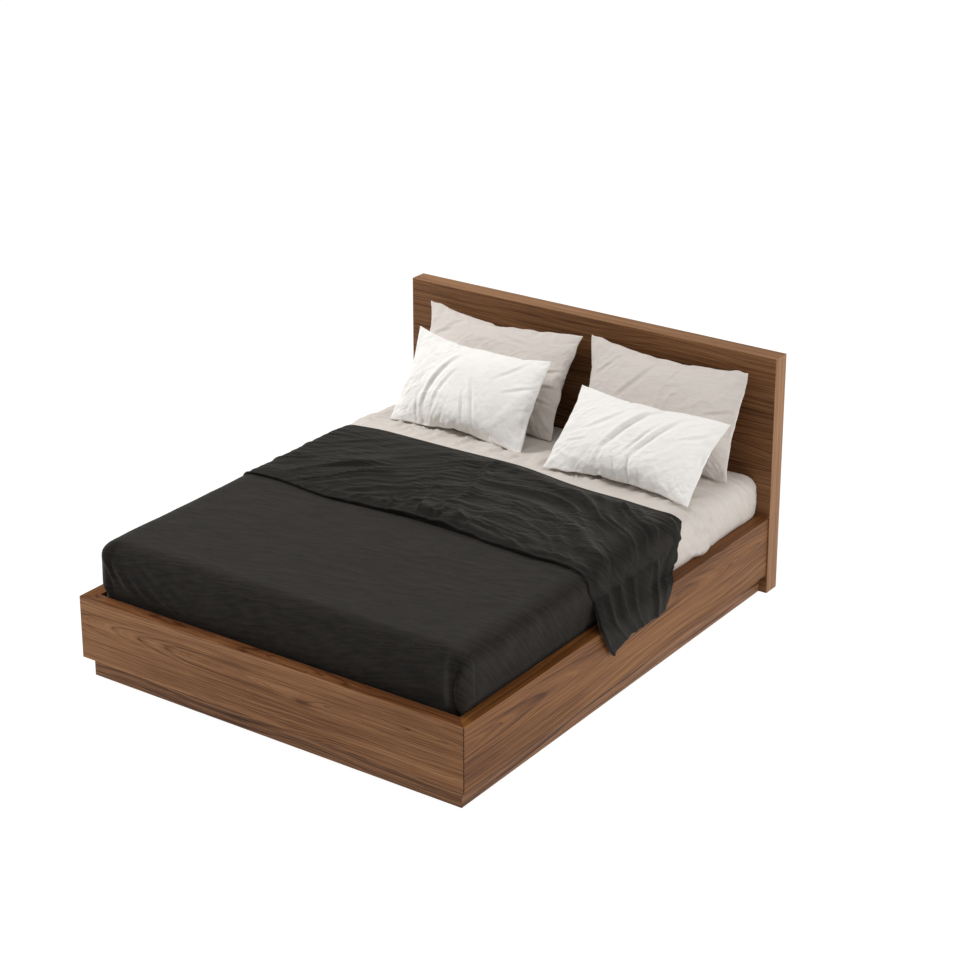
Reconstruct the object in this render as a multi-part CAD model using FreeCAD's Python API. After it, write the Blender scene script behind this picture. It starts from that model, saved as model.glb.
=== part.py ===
import FreeCAD, Part
import math
import os

from FreeCAD import Placement, Rotation, Vector

# Platform bed with a flat headboard, made up with a mattress, bedding and four pillows.
# Millimetres. The origin is on the floor under the middle of the bed: +X is the right side for
# someone standing at the foot, +Y runs to the headboard, +Z is up.

# ---- driving dimensions -------------------------------------------------------------------------
BED_WIDTH = 1725.0              # outside the side rails
WELL_LENGTH = 2012.0            # foot rail to headboard, inside
RAIL_THICKNESS = 55.0
RAIL_TOP = 325.0
PLINTH_HEIGHT = 78.0
PLINTH_SETBACK = 30.0
PLINTH_THICKNESS = 18.0
HEADBOARD_HEIGHT = 990.0
HEADBOARD_THICKNESS = 78.0
HEADBOARD_OVERHANG = 6.0        # past the side rails, each side
PANEL_THICKNESS = 16.0          # the headboard's front and back panels
EDGING = 3.0                    # solid lipping round the headboard
STILE_WIDTH = 120.0
FRAME_RAIL_HEIGHT = 70.0        # top and bottom members inside the headboard

SLAT_COUNT = 13
SLAT_WIDTH = 90.0
SLAT_THICKNESS = 18.0
SLAT_TOP = 270.0
SLAT_END_GAP = 2.5              # slat end to side rail
CLEAT_WIDTH = 30.0
CLEAT_HEIGHT = 40.0
BEAM_WIDTH = 45.0
BEAM_HEIGHT = 70.0
GLIDE_HEIGHT = 14.0
CORNER_BLOCK = 40.0             # side of the square blocks in the plinth's corners
CORNER_BLOCK_HEIGHT = 68.0

MATTRESS_WIDTH = 1590.0         # a 160 cm mattress, at the small end of its tolerance
MATTRESS_LENGTH = 1990.0        # and 200 cm long
MATTRESS_HEIGHT = 260.0
MATTRESS_CORNER = 60.0          # plan radius
MATTRESS_EDGE = 42.0            # radius along the top and bottom edges
MATTRESS_FOOT_GAP = 12.0        # mattress to foot rail, where the bedspread is tucked in
SHEET_THICKNESS = 2.0
SHEET_HEM = 110.0               # how far the fitted sheet reaches under the mattress
SPREAD_THICKNESS = 4.0
SPREAD_HEAD_EDGE = 377.0        # where the bedspread ends, under the throw
SPREAD_HEM = 284.0              # how far down it is tucked between mattress and rails
THROW_THICKNESS = 8.0           # two layers of folded cloth
SOFT_GAP = 0.5                  # between soft pieces of different bodies

EASED = 1.2                     # radius on the edges of boards
FIT = 0.05                      # radial clearance round dowels, bolts and screws

# ---- worked out from them -----------------------------------------------------------------------
HALF_WIDTH = BED_WIDTH / 2
TOTAL_LENGTH = RAIL_THICKNESS + WELL_LENGTH + HEADBOARD_THICKNESS
FOOT_FACE = -TOTAL_LENGTH / 2
FOOT_INNER = FOOT_FACE + RAIL_THICKNESS
BACK_FACE = TOTAL_LENGTH / 2
HEADBOARD_FACE = BACK_FACE - HEADBOARD_THICKNESS
WELL_HALF = HALF_WIDTH - RAIL_THICKNESS
PLINTH_HALF = HALF_WIDTH - PLINTH_SETBACK
PLINTH_FOOT = FOOT_FACE + PLINTH_SETBACK
HEADBOARD_HALF = HALF_WIDTH + HEADBOARD_OVERHANG
SLAT_BOTTOM = SLAT_TOP - SLAT_THICKNESS
BEAM_BOTTOM = SLAT_BOTTOM - BEAM_HEIGHT
MATTRESS_BOTTOM = SLAT_TOP + SOFT_GAP + SHEET_THICKNESS
MATTRESS_FOOT = FOOT_INNER + MATTRESS_FOOT_GAP
SHEET_TOP = MATTRESS_BOTTOM + MATTRESS_HEIGHT + SHEET_THICKNESS
SPREAD_TOP = SHEET_TOP + SPREAD_THICKNESS

X, Y, Z = Vector(1, 0, 0), Vector(0, 1, 0), Vector(0, 0, 1)
SIDES = {"left": -1, "right": 1}


# ---- helpers ------------------------------------------------------------------------------------
def save(node, shape):
    """One STEP file for each node. A list of solids is a group of identical pieces."""
    if isinstance(shape, list):
        shape = Part.makeCompound(shape)
    shape.exportStep("parts/%s.step" % node)


def box(x0, x1, y0, y1, z0, z1):
    return Part.makeBox(x1 - x0, y1 - y0, z1 - z0, Vector(x0, y0, z0))


def mirrored(shape):
    """The same piece on the other side of the bed."""
    return shape.mirror(Vector(0, 0, 0), X)


def prism(outline, along, depth):
    """Extrudes a closed outline of points."""
    wire = Part.makePolygon(outline + outline[:1])
    return Part.Face(wire).extrude(along * depth)


def eased(board, radius=EASED):
    return board.makeFillet(radius, board.Edges)


def drilled(board, holes):
    return board.cut(Part.makeCompound(holes)) if holes else board


def hole(start, direction, depth, radius):
    """A drilling that starts 1 mm outside the face it enters."""
    return Part.makeCylinder(radius + FIT, depth + 1, start - direction * 1, direction)


def placed(shape, point, direction):
    """Copies a piece modelled along +Z to a point, turned to a direction."""
    copy = shape.copy()
    copy.Placement = Placement(point, Rotation(Z, direction))
    return copy


def hex_prism(across_flats, depth):
    radius = across_flats / math.sqrt(3)
    turns = [math.radians(60 * i) for i in range(6)]
    return prism([Vector(radius * math.cos(a), radius * math.sin(a), 0) for a in turns], Z, depth)


def countersunk_screw(length, radius, head_radius, socket):
    """Modelled along +Z with its flat head at z = 0."""
    cone_height = head_radius - radius
    head = Part.makeCone(head_radius, radius, cone_height)
    shank = Part.makeCylinder(radius, length - cone_height - radius, Vector(0, 0, cone_height))
    point = Part.makeCone(radius, radius * 0.2, radius, Vector(0, 0, length - radius))
    return head.fuse([shank, point]).removeSplitter().cut(hex_prism(socket, cone_height * 0.6))


def countersink(start, direction, depth, radius, head_radius):
    """The hole for such a screw, cut a little deeper than the screw."""
    cone = Part.makeCone(head_radius + FIT, radius + FIT, head_radius - radius, start, direction)
    return cone.fuse(Part.makeCylinder(radius + FIT, depth + 2, start, direction))


def button_bolt(length, radius):
    """Domed head below z = 0, threaded shank above it."""
    head_radius, head_height = radius * 1.75, radius * 1.1
    shank = Part.makeCylinder(radius, length)
    head = Part.makeCylinder(head_radius, head_height, Vector(0, 0, -head_height))
    rim = [e for e in head.Edges if abs(e.CenterOfMass.z + head_height) < 0.01]
    head = head.makeFillet(head_height * 0.6, rim)
    socket = hex_prism(radius * 1.25, head_height * 0.6).translated(Vector(0, 0, -head_height))
    return shank.fuse(head).removeSplitter().cut(socket)


def spaced(first, last, count):
    step = (last - first) / (count - 1)
    return [first + step * i for i in range(count)]


# ---- fasteners shared by several boards -----------------------------------------------------------
BOLT_RADIUS, BOLT_LENGTH = 4.0, 40.0
DOWEL_RADIUS = 4.0
SCREW_RADIUS, SCREW_HEAD, SCREW_SOCKET = 2.5, 5.0, 3.0

BRACKET_LEG = 60.0
BRACKET_STEEL = 3.0
BRACKET_BEND = 2.0              # radius inside the bend
BRACKET_BOTTOM, BRACKET_TOP = 92.0, 202.0
BRACKET_HOLE_OFFSET = 36.0      # hole centre from the bracket's corner
BRACKET_HOLE_HEIGHTS = [120.0, 174.0]

MITRE_DOWEL_LENGTH = 50.0
MITRE_DOWEL_HEIGHTS = [115.0, 200.0, 285.0]
PLINTH_DOWEL_LENGTH = 40.0
FRONT_DOWEL_REACH = 600.0       # outermost plinth dowels from the middle of the bed
SIDE_DOWEL_REACH = 850.0
DOWEL_END_GAP = 0.5             # dowel end to the bottom of its hole


def bracket_corners():
    """Inside corners of the well: x side, y of the cross face and the way that face is entered."""
    for side in (-1, 1):
        for y, into in ((FOOT_INNER, -1), (HEADBOARD_FACE, 1)):
            yield side, y, into


def bracket_bolt_axes():
    """Start on the board's face and direction of each bracket bolt."""
    for side, y, into in bracket_corners():
        for z in BRACKET_HOLE_HEIGHTS:
            yield Vector(side * (WELL_HALF - BRACKET_HOLE_OFFSET), y, z), Y * into
            yield Vector(side * WELL_HALF, y - into * BRACKET_HOLE_OFFSET, z), X * side


def mitre_dowel_axes():
    """Start and direction of the dowels that cross the foot corners' mitres."""
    for side in (-1, 1):
        across = Vector(side, 1, 0).normalize()
        middle = Vector(side * (HALF_WIDTH - RAIL_THICKNESS / 2), FOOT_FACE + RAIL_THICKNESS / 2, 0)
        for z in MITRE_DOWEL_HEIGHTS:
            yield middle + Z * z - across * (MITRE_DOWEL_LENGTH / 2), across


def plinth_dowel_points():
    """Where upright dowels join the plinth's top edge to the rails."""
    centre = PLINTH_THICKNESS / 2
    for x in spaced(-FRONT_DOWEL_REACH, FRONT_DOWEL_REACH, 4):
        yield Vector(x, PLINTH_FOOT + centre, PLINTH_HEIGHT)
    for y in spaced(-SIDE_DOWEL_REACH, SIDE_DOWEL_REACH, 5):
        for side in (-1, 1):
            yield Vector(side * (PLINTH_HALF - centre), y, PLINTH_HEIGHT)


def all_board_holes():
    holes = [hole(p, d, BOLT_LENGTH, BOLT_RADIUS) for p, d in bracket_bolt_axes()]
    for start, across in mitre_dowel_axes():
        holes.append(Part.makeCylinder(DOWEL_RADIUS + FIT, MITRE_DOWEL_LENGTH, start, across))
    for point in plinth_dowel_points():
        start = point - Z * (PLINTH_DOWEL_LENGTH / 2)
        holes.append(Part.makeCylinder(DOWEL_RADIUS + FIT, PLINTH_DOWEL_LENGTH, start, Z))
    return holes


def with_its_holes(board, holes):
    """Cuts only the holes that reach this board."""
    near = [h for h in holes if h.BoundBox.intersect(board.BoundBox)]
    return drilled(board, near)


# ---- rails and plinth -----------------------------------------------------------------------------
def make_rails(holes):
    """Three thick veneered boards, mitred together at the foot, butted to the headboard."""
    height = RAIL_TOP - PLINTH_HEIGHT
    foot = prism([Vector(-HALF_WIDTH, FOOT_FACE, PLINTH_HEIGHT),
                  Vector(HALF_WIDTH, FOOT_FACE, PLINTH_HEIGHT),
                  Vector(WELL_HALF, FOOT_INNER, PLINTH_HEIGHT),
                  Vector(-WELL_HALF, FOOT_INNER, PLINTH_HEIGHT)], Z, height)
    right = prism([Vector(HALF_WIDTH, FOOT_FACE, PLINTH_HEIGHT),
                   Vector(HALF_WIDTH, HEADBOARD_FACE, PLINTH_HEIGHT),
                   Vector(WELL_HALF, HEADBOARD_FACE, PLINTH_HEIGHT),
                   Vector(WELL_HALF, FOOT_INNER, PLINTH_HEIGHT)], Z, height)
    save("foot_rail", with_its_holes(eased(foot), holes))
    for name, board in (("right", eased(right)), ("left", mirrored(eased(right)))):
        save("side_rail_" + name, with_its_holes(board, holes))


def make_plinth(holes):
    """Set-back base boards that carry the rails, with glued blocks in their corners."""
    inner, inner_foot = PLINTH_HALF - PLINTH_THICKNESS, PLINTH_FOOT + PLINTH_THICKNESS
    front = prism([Vector(-PLINTH_HALF, PLINTH_FOOT, 0), Vector(PLINTH_HALF, PLINTH_FOOT, 0),
                   Vector(inner, inner_foot, 0), Vector(-inner, inner_foot, 0)], Z, PLINTH_HEIGHT)
    right = prism([Vector(PLINTH_HALF, PLINTH_FOOT, 0), Vector(PLINTH_HALF, HEADBOARD_FACE, 0),
                   Vector(inner, HEADBOARD_FACE, 0), Vector(inner, inner_foot, 0)], Z, PLINTH_HEIGHT)
    back = box(-inner, inner, HEADBOARD_FACE - PLINTH_THICKNESS, HEADBOARD_FACE, 0, PLINTH_HEIGHT)
    small = EASED / 2
    save("plinth_front", with_its_holes(eased(front, small), holes))
    for name, board in (("right", eased(right, small)), ("left", mirrored(eased(right, small)))):
        save("plinth_" + name, with_its_holes(board, holes))
    save("plinth_back", eased(back, small))

    size, blocks = CORNER_BLOCK, []
    for side in (-1, 1):
        for y in (inner_foot, HEADBOARD_FACE - PLINTH_THICKNESS - size):
            x = inner - size if side > 0 else -inner
            blocks.append(box(x, x + size, y, y + size, 0, CORNER_BLOCK_HEIGHT))
    save("plinth_corner_blocks", blocks)


def make_dowels():
    mitre = [Part.makeCylinder(DOWEL_RADIUS, MITRE_DOWEL_LENGTH - 2 * DOWEL_END_GAP,
                               start + across * DOWEL_END_GAP, across)
             for start, across in mitre_dowel_axes()]
    save("mitre_dowels", mitre)
    upright = [Part.makeCylinder(DOWEL_RADIUS, PLINTH_DOWEL_LENGTH - 2 * DOWEL_END_GAP,
                                 point - Z * (PLINTH_DOWEL_LENGTH / 2 - DOWEL_END_GAP), Z)
               for point in plinth_dowel_points()]
    save("plinth_dowels", upright)


# ---- steel corner brackets --------------------------------------------------------------------------
def make_brackets():
    """An angle in each corner of the well, bolted to both boards that meet there."""
    corner = [Vector(0, 0, 0), Vector(-BRACKET_LEG, 0, 0), Vector(-BRACKET_LEG, BRACKET_STEEL, 0),
              Vector(-BRACKET_STEEL, BRACKET_STEEL, 0), Vector(-BRACKET_STEEL, BRACKET_LEG, 0),
              Vector(0, BRACKET_LEG, 0)]
    angle = prism(corner, Z, BRACKET_TOP - BRACKET_BOTTOM)
    bends = [e for e in angle.Edges if e.Length > BRACKET_LEG + 1
             and abs(e.CenterOfMass.x) < BRACKET_STEEL + 0.1
             and abs(e.CenterOfMass.y) < BRACKET_STEEL + 0.1]
    inner = [e for e in bends if e.CenterOfMass.y > 1]
    angle = angle.makeFillet(BRACKET_BEND, inner)
    clearance = BOLT_RADIUS + 0.3
    for z in BRACKET_HOLE_HEIGHTS:
        height = z - BRACKET_BOTTOM
        for start, way in ((Vector(-BRACKET_HOLE_OFFSET, -1, height), Y),
                           (Vector(1, BRACKET_HOLE_OFFSET, height), -X)):
            angle = angle.cut(Part.makeCylinder(clearance, BRACKET_STEEL + 2, start, way))
    brackets, bolts = [], []
    for side, y, into in bracket_corners():
        piece = angle.copy()
        if side < 0:
            piece = piece.mirror(Vector(0, 0, 0), X)
        if into > 0:
            piece = piece.mirror(Vector(0, 0, 0), Y)
        piece.translate(Vector(side * WELL_HALF, y, BRACKET_BOTTOM))
        brackets.append(piece)
    bolt = button_bolt(BOLT_LENGTH - 1, BOLT_RADIUS)
    for start, way in bracket_bolt_axes():
        bolts.append(placed(bolt, start - way * BRACKET_STEEL, way))
    save("corner_brackets", brackets)
    save("bracket_bolts", bolts)


# ---- slats and what carries them ----------------------------------------------------------------------
CLEAT_SCREW_LENGTH = 60.0
CLEAT_SCREW_COUNT = 7
CLEAT_SCREW_REACH = 870.0       # outermost cleat screws from the middle of the bed
CLEAT_END_GAP = 8.0
CLEAT_ROUND = 1.5
SLAT_ROUND = 2.0
SLAT_MARGIN = 18.0              # first and last slat to the ends of the well
SLAT_SCREW_LENGTH = 40.0
LEG_BOLT_LENGTH = 110.0
LEG_YS = {"foot": FOOT_INNER + WELL_LENGTH / 3, "head": FOOT_INNER + WELL_LENGTH * 2 / 3}
HANGER_STEEL = 3.0
HANGER_DEPTH = 50.0
HANGER_HALF = 62.0
HANGER_PLATE_DROP = 6.0         # top of the back plate and of the cheeks below the beam's top
HANGER_CHEEK_DROP = 16.0
HANGER_SCREW_LENGTH = 30.0
HANGER_SCREW_REACH = 46.0
HANGER_SCREW_RISES = [12.0, 46.0]
GLIDE_STEM_RADIUS, GLIDE_STEM_LENGTH = 4.0, 40.0
GLIDE_PAD_RADIUS, GLIDE_PAD_HEIGHT = 17.0, 7.0


def slat_centres():
    margin = SLAT_WIDTH / 2 + SLAT_MARGIN
    return spaced(FOOT_INNER + margin, HEADBOARD_FACE - margin, SLAT_COUNT)


def slat_screw_points(y):
    """One screw into each cleat and one into the beam."""
    reach = WELL_HALF - CLEAT_WIDTH / 2
    return [Vector(x, y, SLAT_TOP) for x in (-reach, 0, reach)]


def slat_pilot_holes():
    depth = SLAT_SCREW_LENGTH + 1
    return [Part.makeCylinder(SCREW_RADIUS + FIT, depth, point, -Z)
            for y in slat_centres() for point in slat_screw_points(y)]


def cleat_screw_points(side):
    z = SLAT_BOTTOM - CLEAT_HEIGHT / 2
    return [Vector(side * (WELL_HALF - CLEAT_WIDTH), y, z)
            for y in spaced(-CLEAT_SCREW_REACH, CLEAT_SCREW_REACH, CLEAT_SCREW_COUNT)]


def make_slats():
    screw = countersunk_screw(SLAT_SCREW_LENGTH, SCREW_RADIUS, SCREW_HEAD, SCREW_SOCKET)
    half = WELL_HALF - SLAT_END_GAP
    screws = []
    for number, y in enumerate(slat_centres(), start=1):
        slat = box(-half, half, y - SLAT_WIDTH / 2, y + SLAT_WIDTH / 2, SLAT_BOTTOM, SLAT_TOP)
        slat = eased(slat, SLAT_ROUND)
        points = slat_screw_points(y)
        sinks = [countersink(p, -Z, SLAT_SCREW_LENGTH, SCREW_RADIUS, SCREW_HEAD) for p in points]
        save("slat_%02d" % number, drilled(slat, sinks))
        screws += [placed(screw, p, -Z) for p in points]
    save("slat_screws", screws)


def make_cleats():
    """Battens along the side rails that the slat ends lie on."""
    screw = countersunk_screw(CLEAT_SCREW_LENGTH, SCREW_RADIUS, SCREW_HEAD, SCREW_SOCKET)
    pilots = slat_pilot_holes()
    screws = []
    for name, side in SIDES.items():
        near, far = sorted((side * (WELL_HALF - CLEAT_WIDTH), side * WELL_HALF))
        cleat = box(near, far, FOOT_INNER + CLEAT_END_GAP, HEADBOARD_FACE - CLEAT_END_GAP,
                    SLAT_BOTTOM - CLEAT_HEIGHT, SLAT_BOTTOM)
        cleat = cleat.makeFillet(CLEAT_ROUND, [e for e in cleat.Edges if e.Length > 1000])
        points = cleat_screw_points(side)
        sinks = [countersink(p, X * side, CLEAT_SCREW_LENGTH, SCREW_RADIUS, SCREW_HEAD) for p in points]
        save("slat_cleat_" + name, with_its_holes(cleat, sinks + pilots))
        screws += [placed(screw, p, X * side) for p in points]
    save("cleat_screws", screws)


def cleat_screw_pilots():
    return [Part.makeCylinder(SCREW_RADIUS + FIT, CLEAT_SCREW_LENGTH + 1, p, X * side)
            for side in (-1, 1) for p in cleat_screw_points(side)]


def hanger_screw_points():
    """On the face of each hanger's back plate, with the direction each screw goes."""
    for y, into in ((FOOT_INNER, -1), (HEADBOARD_FACE, 1)):
        for x in (-HANGER_SCREW_REACH, HANGER_SCREW_REACH):
            for rise in HANGER_SCREW_RISES:
                yield Vector(x, y - into * HANGER_STEEL, BEAM_BOTTOM + rise), Y * into


def hanger_screw_pilots():
    depth = HANGER_SCREW_LENGTH + 1
    return [Part.makeCylinder(SCREW_RADIUS + FIT, depth, p, d) for p, d in hanger_screw_points()]


def make_hanger(y, into):
    """A steel stirrup: a back plate screwed to the board, a shelf and two cheeks for the beam."""
    slot = BEAM_WIDTH / 2 + 0.5
    outer = slot + HANGER_STEEL
    back_near, back_far = sorted((y, y - into * HANGER_STEEL))
    near, far = sorted((y, y - into * HANGER_DEPTH))
    bottom = BEAM_BOTTOM - HANGER_STEEL
    plate = box(-HANGER_HALF, HANGER_HALF, back_near, back_far, bottom, SLAT_BOTTOM - HANGER_PLATE_DROP)
    shelf = box(-outer, outer, near, far, bottom, BEAM_BOTTOM)
    cheeks = [box(x0, x0 + HANGER_STEEL, near, far, bottom, SLAT_BOTTOM - HANGER_CHEEK_DROP)
              for x0 in (-outer, slot)]
    stirrup = plate.fuse([shelf] + cheeks).removeSplitter()
    sinks = [countersink(p, d, HANGER_STEEL, SCREW_RADIUS, SCREW_HEAD)
             for p, d in hanger_screw_points() if d.y * into > 0]
    return drilled(stirrup, sinks)


def make_beam():
    """The middle beam on its hangers, with two legs and their height-adjustable glides."""
    gap = HANGER_STEEL + 1
    half = BEAM_WIDTH / 2
    beam = box(-half, half, FOOT_INNER + gap, HEADBOARD_FACE - gap, BEAM_BOTTOM, SLAT_BOTTOM)
    beam = beam.makeFillet(CLEAT_ROUND, [e for e in beam.Edges if e.Length > 1000])
    bolt = countersunk_screw(LEG_BOLT_LENGTH, BOLT_RADIUS, BOLT_RADIUS * 2, 5.0)
    bolts, glides, sinks = [], [], []
    for name, y in LEG_YS.items():
        top = Vector(0, y, SLAT_BOTTOM)
        sink = countersink(top, -Z, LEG_BOLT_LENGTH, BOLT_RADIUS, BOLT_RADIUS * 2)
        sinks.append(sink)
        bolts.append(placed(bolt, top, -Z))
        leg = box(-half, half, y - half, y + half, GLIDE_HEIGHT, BEAM_BOTTOM)
        leg = leg.makeFillet(SLAT_ROUND, [e for e in leg.Edges if e.Length > 100])
        stem_hole = Part.makeCylinder(GLIDE_STEM_RADIUS + FIT, GLIDE_STEM_LENGTH,
                                      Vector(0, y, GLIDE_HEIGHT - 1))
        save("centre_leg_" + name, drilled(leg, [sink, stem_hole]))
        pad = Part.makeCylinder(GLIDE_PAD_RADIUS, GLIDE_PAD_HEIGHT, Vector(0, y, 0))
        pad = pad.makeFillet(1.5, [e for e in pad.Edges if e.Closed])
        stem = Part.makeCylinder(GLIDE_STEM_RADIUS, GLIDE_STEM_LENGTH, Vector(0, y, GLIDE_PAD_HEIGHT - 0.5))
        glides.append(pad.fuse(stem).removeSplitter())
    save("centre_beam", with_its_holes(beam, sinks + slat_pilot_holes()))
    save("leg_bolts", bolts)
    save("leg_glides", glides)
    save("beam_hangers", [make_hanger(FOOT_INNER, -1), make_hanger(HEADBOARD_FACE, 1)])
    screw = countersunk_screw(HANGER_SCREW_LENGTH, SCREW_RADIUS, SCREW_HEAD, SCREW_SOCKET)
    save("hanger_screws", [placed(screw, p, d) for p, d in hanger_screw_points()])


# ---- headboard -------------------------------------------------------------------------------------
def make_headboard(holes):
    """A hollow slab: a softwood frame between two veneered panels, lipped on three edges."""
    half = HEADBOARD_HALF - EDGING
    top = HEADBOARD_HEIGHT - EDGING
    core_front, core_back = HEADBOARD_FACE + PANEL_THICKNESS, BACK_FACE - PANEL_THICKNESS

    def member(x0, x1, z0, z1):
        return with_its_holes(box(x0, x1, core_front, core_back, z0, z1), holes)

    save("headboard_front_panel",
         with_its_holes(box(-half, half, HEADBOARD_FACE, core_front, 0, top), holes))
    save("headboard_back_panel", box(-half, half, core_back, BACK_FACE, 0, top))
    save("headboard_bottom_rail", member(-half, half, 0, FRAME_RAIL_HEIGHT))
    save("headboard_top_rail", member(-half, half, top - FRAME_RAIL_HEIGHT, top))
    stile_bottom, stile_top = FRAME_RAIL_HEIGHT, top - FRAME_RAIL_HEIGHT
    save("headboard_stile_left", member(-half, -half + STILE_WIDTH, stile_bottom, stile_top))
    save("headboard_stile_right", member(half - STILE_WIDTH, half, stile_bottom, stile_top))
    save("headboard_stile_centre", member(-STILE_WIDTH / 2, STILE_WIDTH / 2, stile_bottom, stile_top))

    start = Vector(-HEADBOARD_HALF, HEADBOARD_FACE, HEADBOARD_HEIGHT)
    cap = prism([start, start + X * 2 * HEADBOARD_HALF, Vector(half, HEADBOARD_FACE, top),
                 Vector(-half, HEADBOARD_FACE, top)], Y, HEADBOARD_THICKNESS)
    side = prism([Vector(HEADBOARD_HALF, HEADBOARD_FACE, 0),
                  Vector(HEADBOARD_HALF, HEADBOARD_FACE, HEADBOARD_HEIGHT),
                  Vector(half, HEADBOARD_FACE, top), Vector(half, HEADBOARD_FACE, 0)],
                 Y, HEADBOARD_THICKNESS)
    outer_top = [e for e in cap.Edges if e.Length > 1000 and e.CenterOfMass.z > top + 1]
    outer_side = [e for e in side.Edges if e.Length > 500 and e.CenterOfMass.x > half + 1]
    side = side.makeFillet(EASED, outer_side)
    save("headboard_edging_top", cap.makeFillet(EASED, outer_top))
    save("headboard_edging_right", side)
    save("headboard_edging_left", mirrored(side))


# ---- mattress and bedding ------------------------------------------------------------------------
def padded_block(grow):
    """The mattress's outer form, grown by the thickness of the cloth over it."""
    half = MATTRESS_WIDTH / 2 + grow
    foot = MATTRESS_FOOT - grow
    head = MATTRESS_FOOT + MATTRESS_LENGTH + grow
    bottom, top = MATTRESS_BOTTOM - grow, MATTRESS_BOTTOM + MATTRESS_HEIGHT + grow
    block = box(-half, half, foot, head, bottom, top)
    upright = [e for e in block.Edges if abs(e.tangentAt(e.FirstParameter).z) > 0.9]
    block = block.makeFillet(MATTRESS_CORNER + grow, upright)
    rims = [e for e in block.Edges if min(abs(e.BoundBox.ZMax - bottom), abs(e.BoundBox.ZMin - top)) < 0.01]
    return block.makeFillet(MATTRESS_EDGE + grow, rims)


def make_mattress_and_sheets():
    core = padded_block(0)
    sheet_form = padded_block(SHEET_THICKNESS)
    spread_form = padded_block(SHEET_THICKNESS + SPREAD_THICKNESS)
    save("mattress", core)

    # The fitted sheet wraps the whole mattress and leaves its underside open inside an elastic hem.
    reach = MATTRESS_WIDTH / 2 - SHEET_HEM
    window = box(-reach, reach, MATTRESS_FOOT + SHEET_HEM, MATTRESS_FOOT + MATTRESS_LENGTH - SHEET_HEM,
                 MATTRESS_BOTTOM - 10, MATTRESS_BOTTOM + 1)
    save("fitted_sheet", sheet_form.cut(core).cut(window))

    # The bedspread lies over the foot half and is tucked down between the mattress and the rails.
    wide = BED_WIDTH
    keep = box(-wide, wide, MATTRESS_FOOT - 50, SPREAD_HEAD_EDGE, SPREAD_HEM, SPREAD_TOP + 1)
    save("bedspread", spread_form.cut(sheet_form).common(keep))


# ---- throw -----------------------------------------------------------------------------------------
THROW_FOOT_EDGE = -255.0
THROW_HEAD_EDGE = 430.0
THROW_HANG = HALF_WIDTH + 1.0   # inside face of the hanging part, just off the rail
THROW_LEAVE = 425.0             # height where the cloth leaves the mattress for the rail
THROW_RIM_GAP = 8.0             # height over the rail's outer edge
THROW_BELOW = 200.0             # the cross-section ends here, below every point of the outline
THROW_LEAVE_ROUND = 60.0        # bend where it leaves the mattress
THROW_RIM_ROUND = 20.0          # bend over the rail's outer edge
# Outline of the cloth seen from the side of the bed, as y and z. It narrows below the mattress
# top and comes to a low point at its foot corner.
THROW_OUTLINE = [(THROW_FOOT_EDGE, 560), (THROW_HEAD_EDGE, 560), (THROW_HEAD_EDGE, 400),
                 (255, 332), (215, 240), (-125, 236), (-170, 214), (THROW_FOOT_EDGE, 345)]


def rounded_path(points, radii):
    """Line and arc edges through points in the XZ plane, with a round at each inner point."""
    edges, last = [], points[0]
    for before, corner, after, radius in zip(points, points[1:], points[2:], radii):
        back, on = (before - corner).normalize(), (after - corner).normalize()
        half_angle = back.getAngle(on) / 2
        setback = radius / math.tan(half_angle)
        centre = corner + (back + on).normalize() * (radius / math.sin(half_angle))
        middle = centre + (corner - centre).normalize() * radius
        start, end = corner + back * setback, corner + on * setback
        edges.append(Part.LineSegment(last, start).toShape())
        edges.append(Part.Arc(start, middle, end).toShape())
        last = end
    edges.append(Part.LineSegment(last, points[-1]).toShape())
    return edges


def offset_path(points, distance):
    """The same path moved sideways, to the left of its own direction in the XZ plane."""
    moved = []
    for i, point in enumerate(points):
        ways = [(points[j + 1] - points[j]).normalize() for j in (i - 1, i) if 0 <= j < len(points) - 1]
        normals = [Vector(-w.z, 0, w.x) for w in ways]
        bisector = normals[0] + normals[-1]
        bisector.normalize()
        moved.append(point + bisector * (distance / bisector.dot(normals[0])))
    return moved


def make_throw():
    """A folded cloth across the bed, down both sides of the mattress and over the side rails."""
    lower = SPREAD_TOP + SOFT_GAP
    edge = MATTRESS_WIDTH / 2 + SHEET_THICKNESS + SPREAD_THICKNESS + 2 * SOFT_GAP
    round_over = MATTRESS_EDGE + SHEET_THICKNESS + SPREAD_THICKNESS
    right = [Vector(edge, 0, lower), Vector(edge, 0, THROW_LEAVE),
             Vector(THROW_HANG, 0, RAIL_TOP + THROW_RIM_GAP), Vector(THROW_HANG, 0, THROW_BELOW)]
    left = [Vector(-p.x, 0, p.z) for p in reversed(right)]
    inner = left + right
    turns = [THROW_RIM_ROUND, THROW_LEAVE_ROUND, round_over]
    inner_radii = turns + turns[::-1]
    outer = offset_path(inner, THROW_THICKNESS)
    outer_turns = [THROW_RIM_ROUND + THROW_THICKNESS, THROW_LEAVE_ROUND - THROW_THICKNESS,
                   round_over + THROW_THICKNESS]
    outer_radii = outer_turns + outer_turns[::-1]
    edges = rounded_path(inner, inner_radii)
    edges.append(Part.LineSegment(inner[-1], outer[-1]).toShape())
    edges += rounded_path(outer, outer_radii)
    edges.append(Part.LineSegment(outer[0], inner[0]).toShape())
    section = Part.Face(Part.Wire(Part.__sortEdges__(edges)))
    section.translate(Y * THROW_FOOT_EDGE)
    band = section.extrude(Y * (THROW_HEAD_EDGE - THROW_FOOT_EDGE))
    side_view = prism([Vector(-BED_WIDTH, y, z) for y, z in THROW_OUTLINE], X, 2 * BED_WIDTH)
    save("throw", band.common(side_view))


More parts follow.
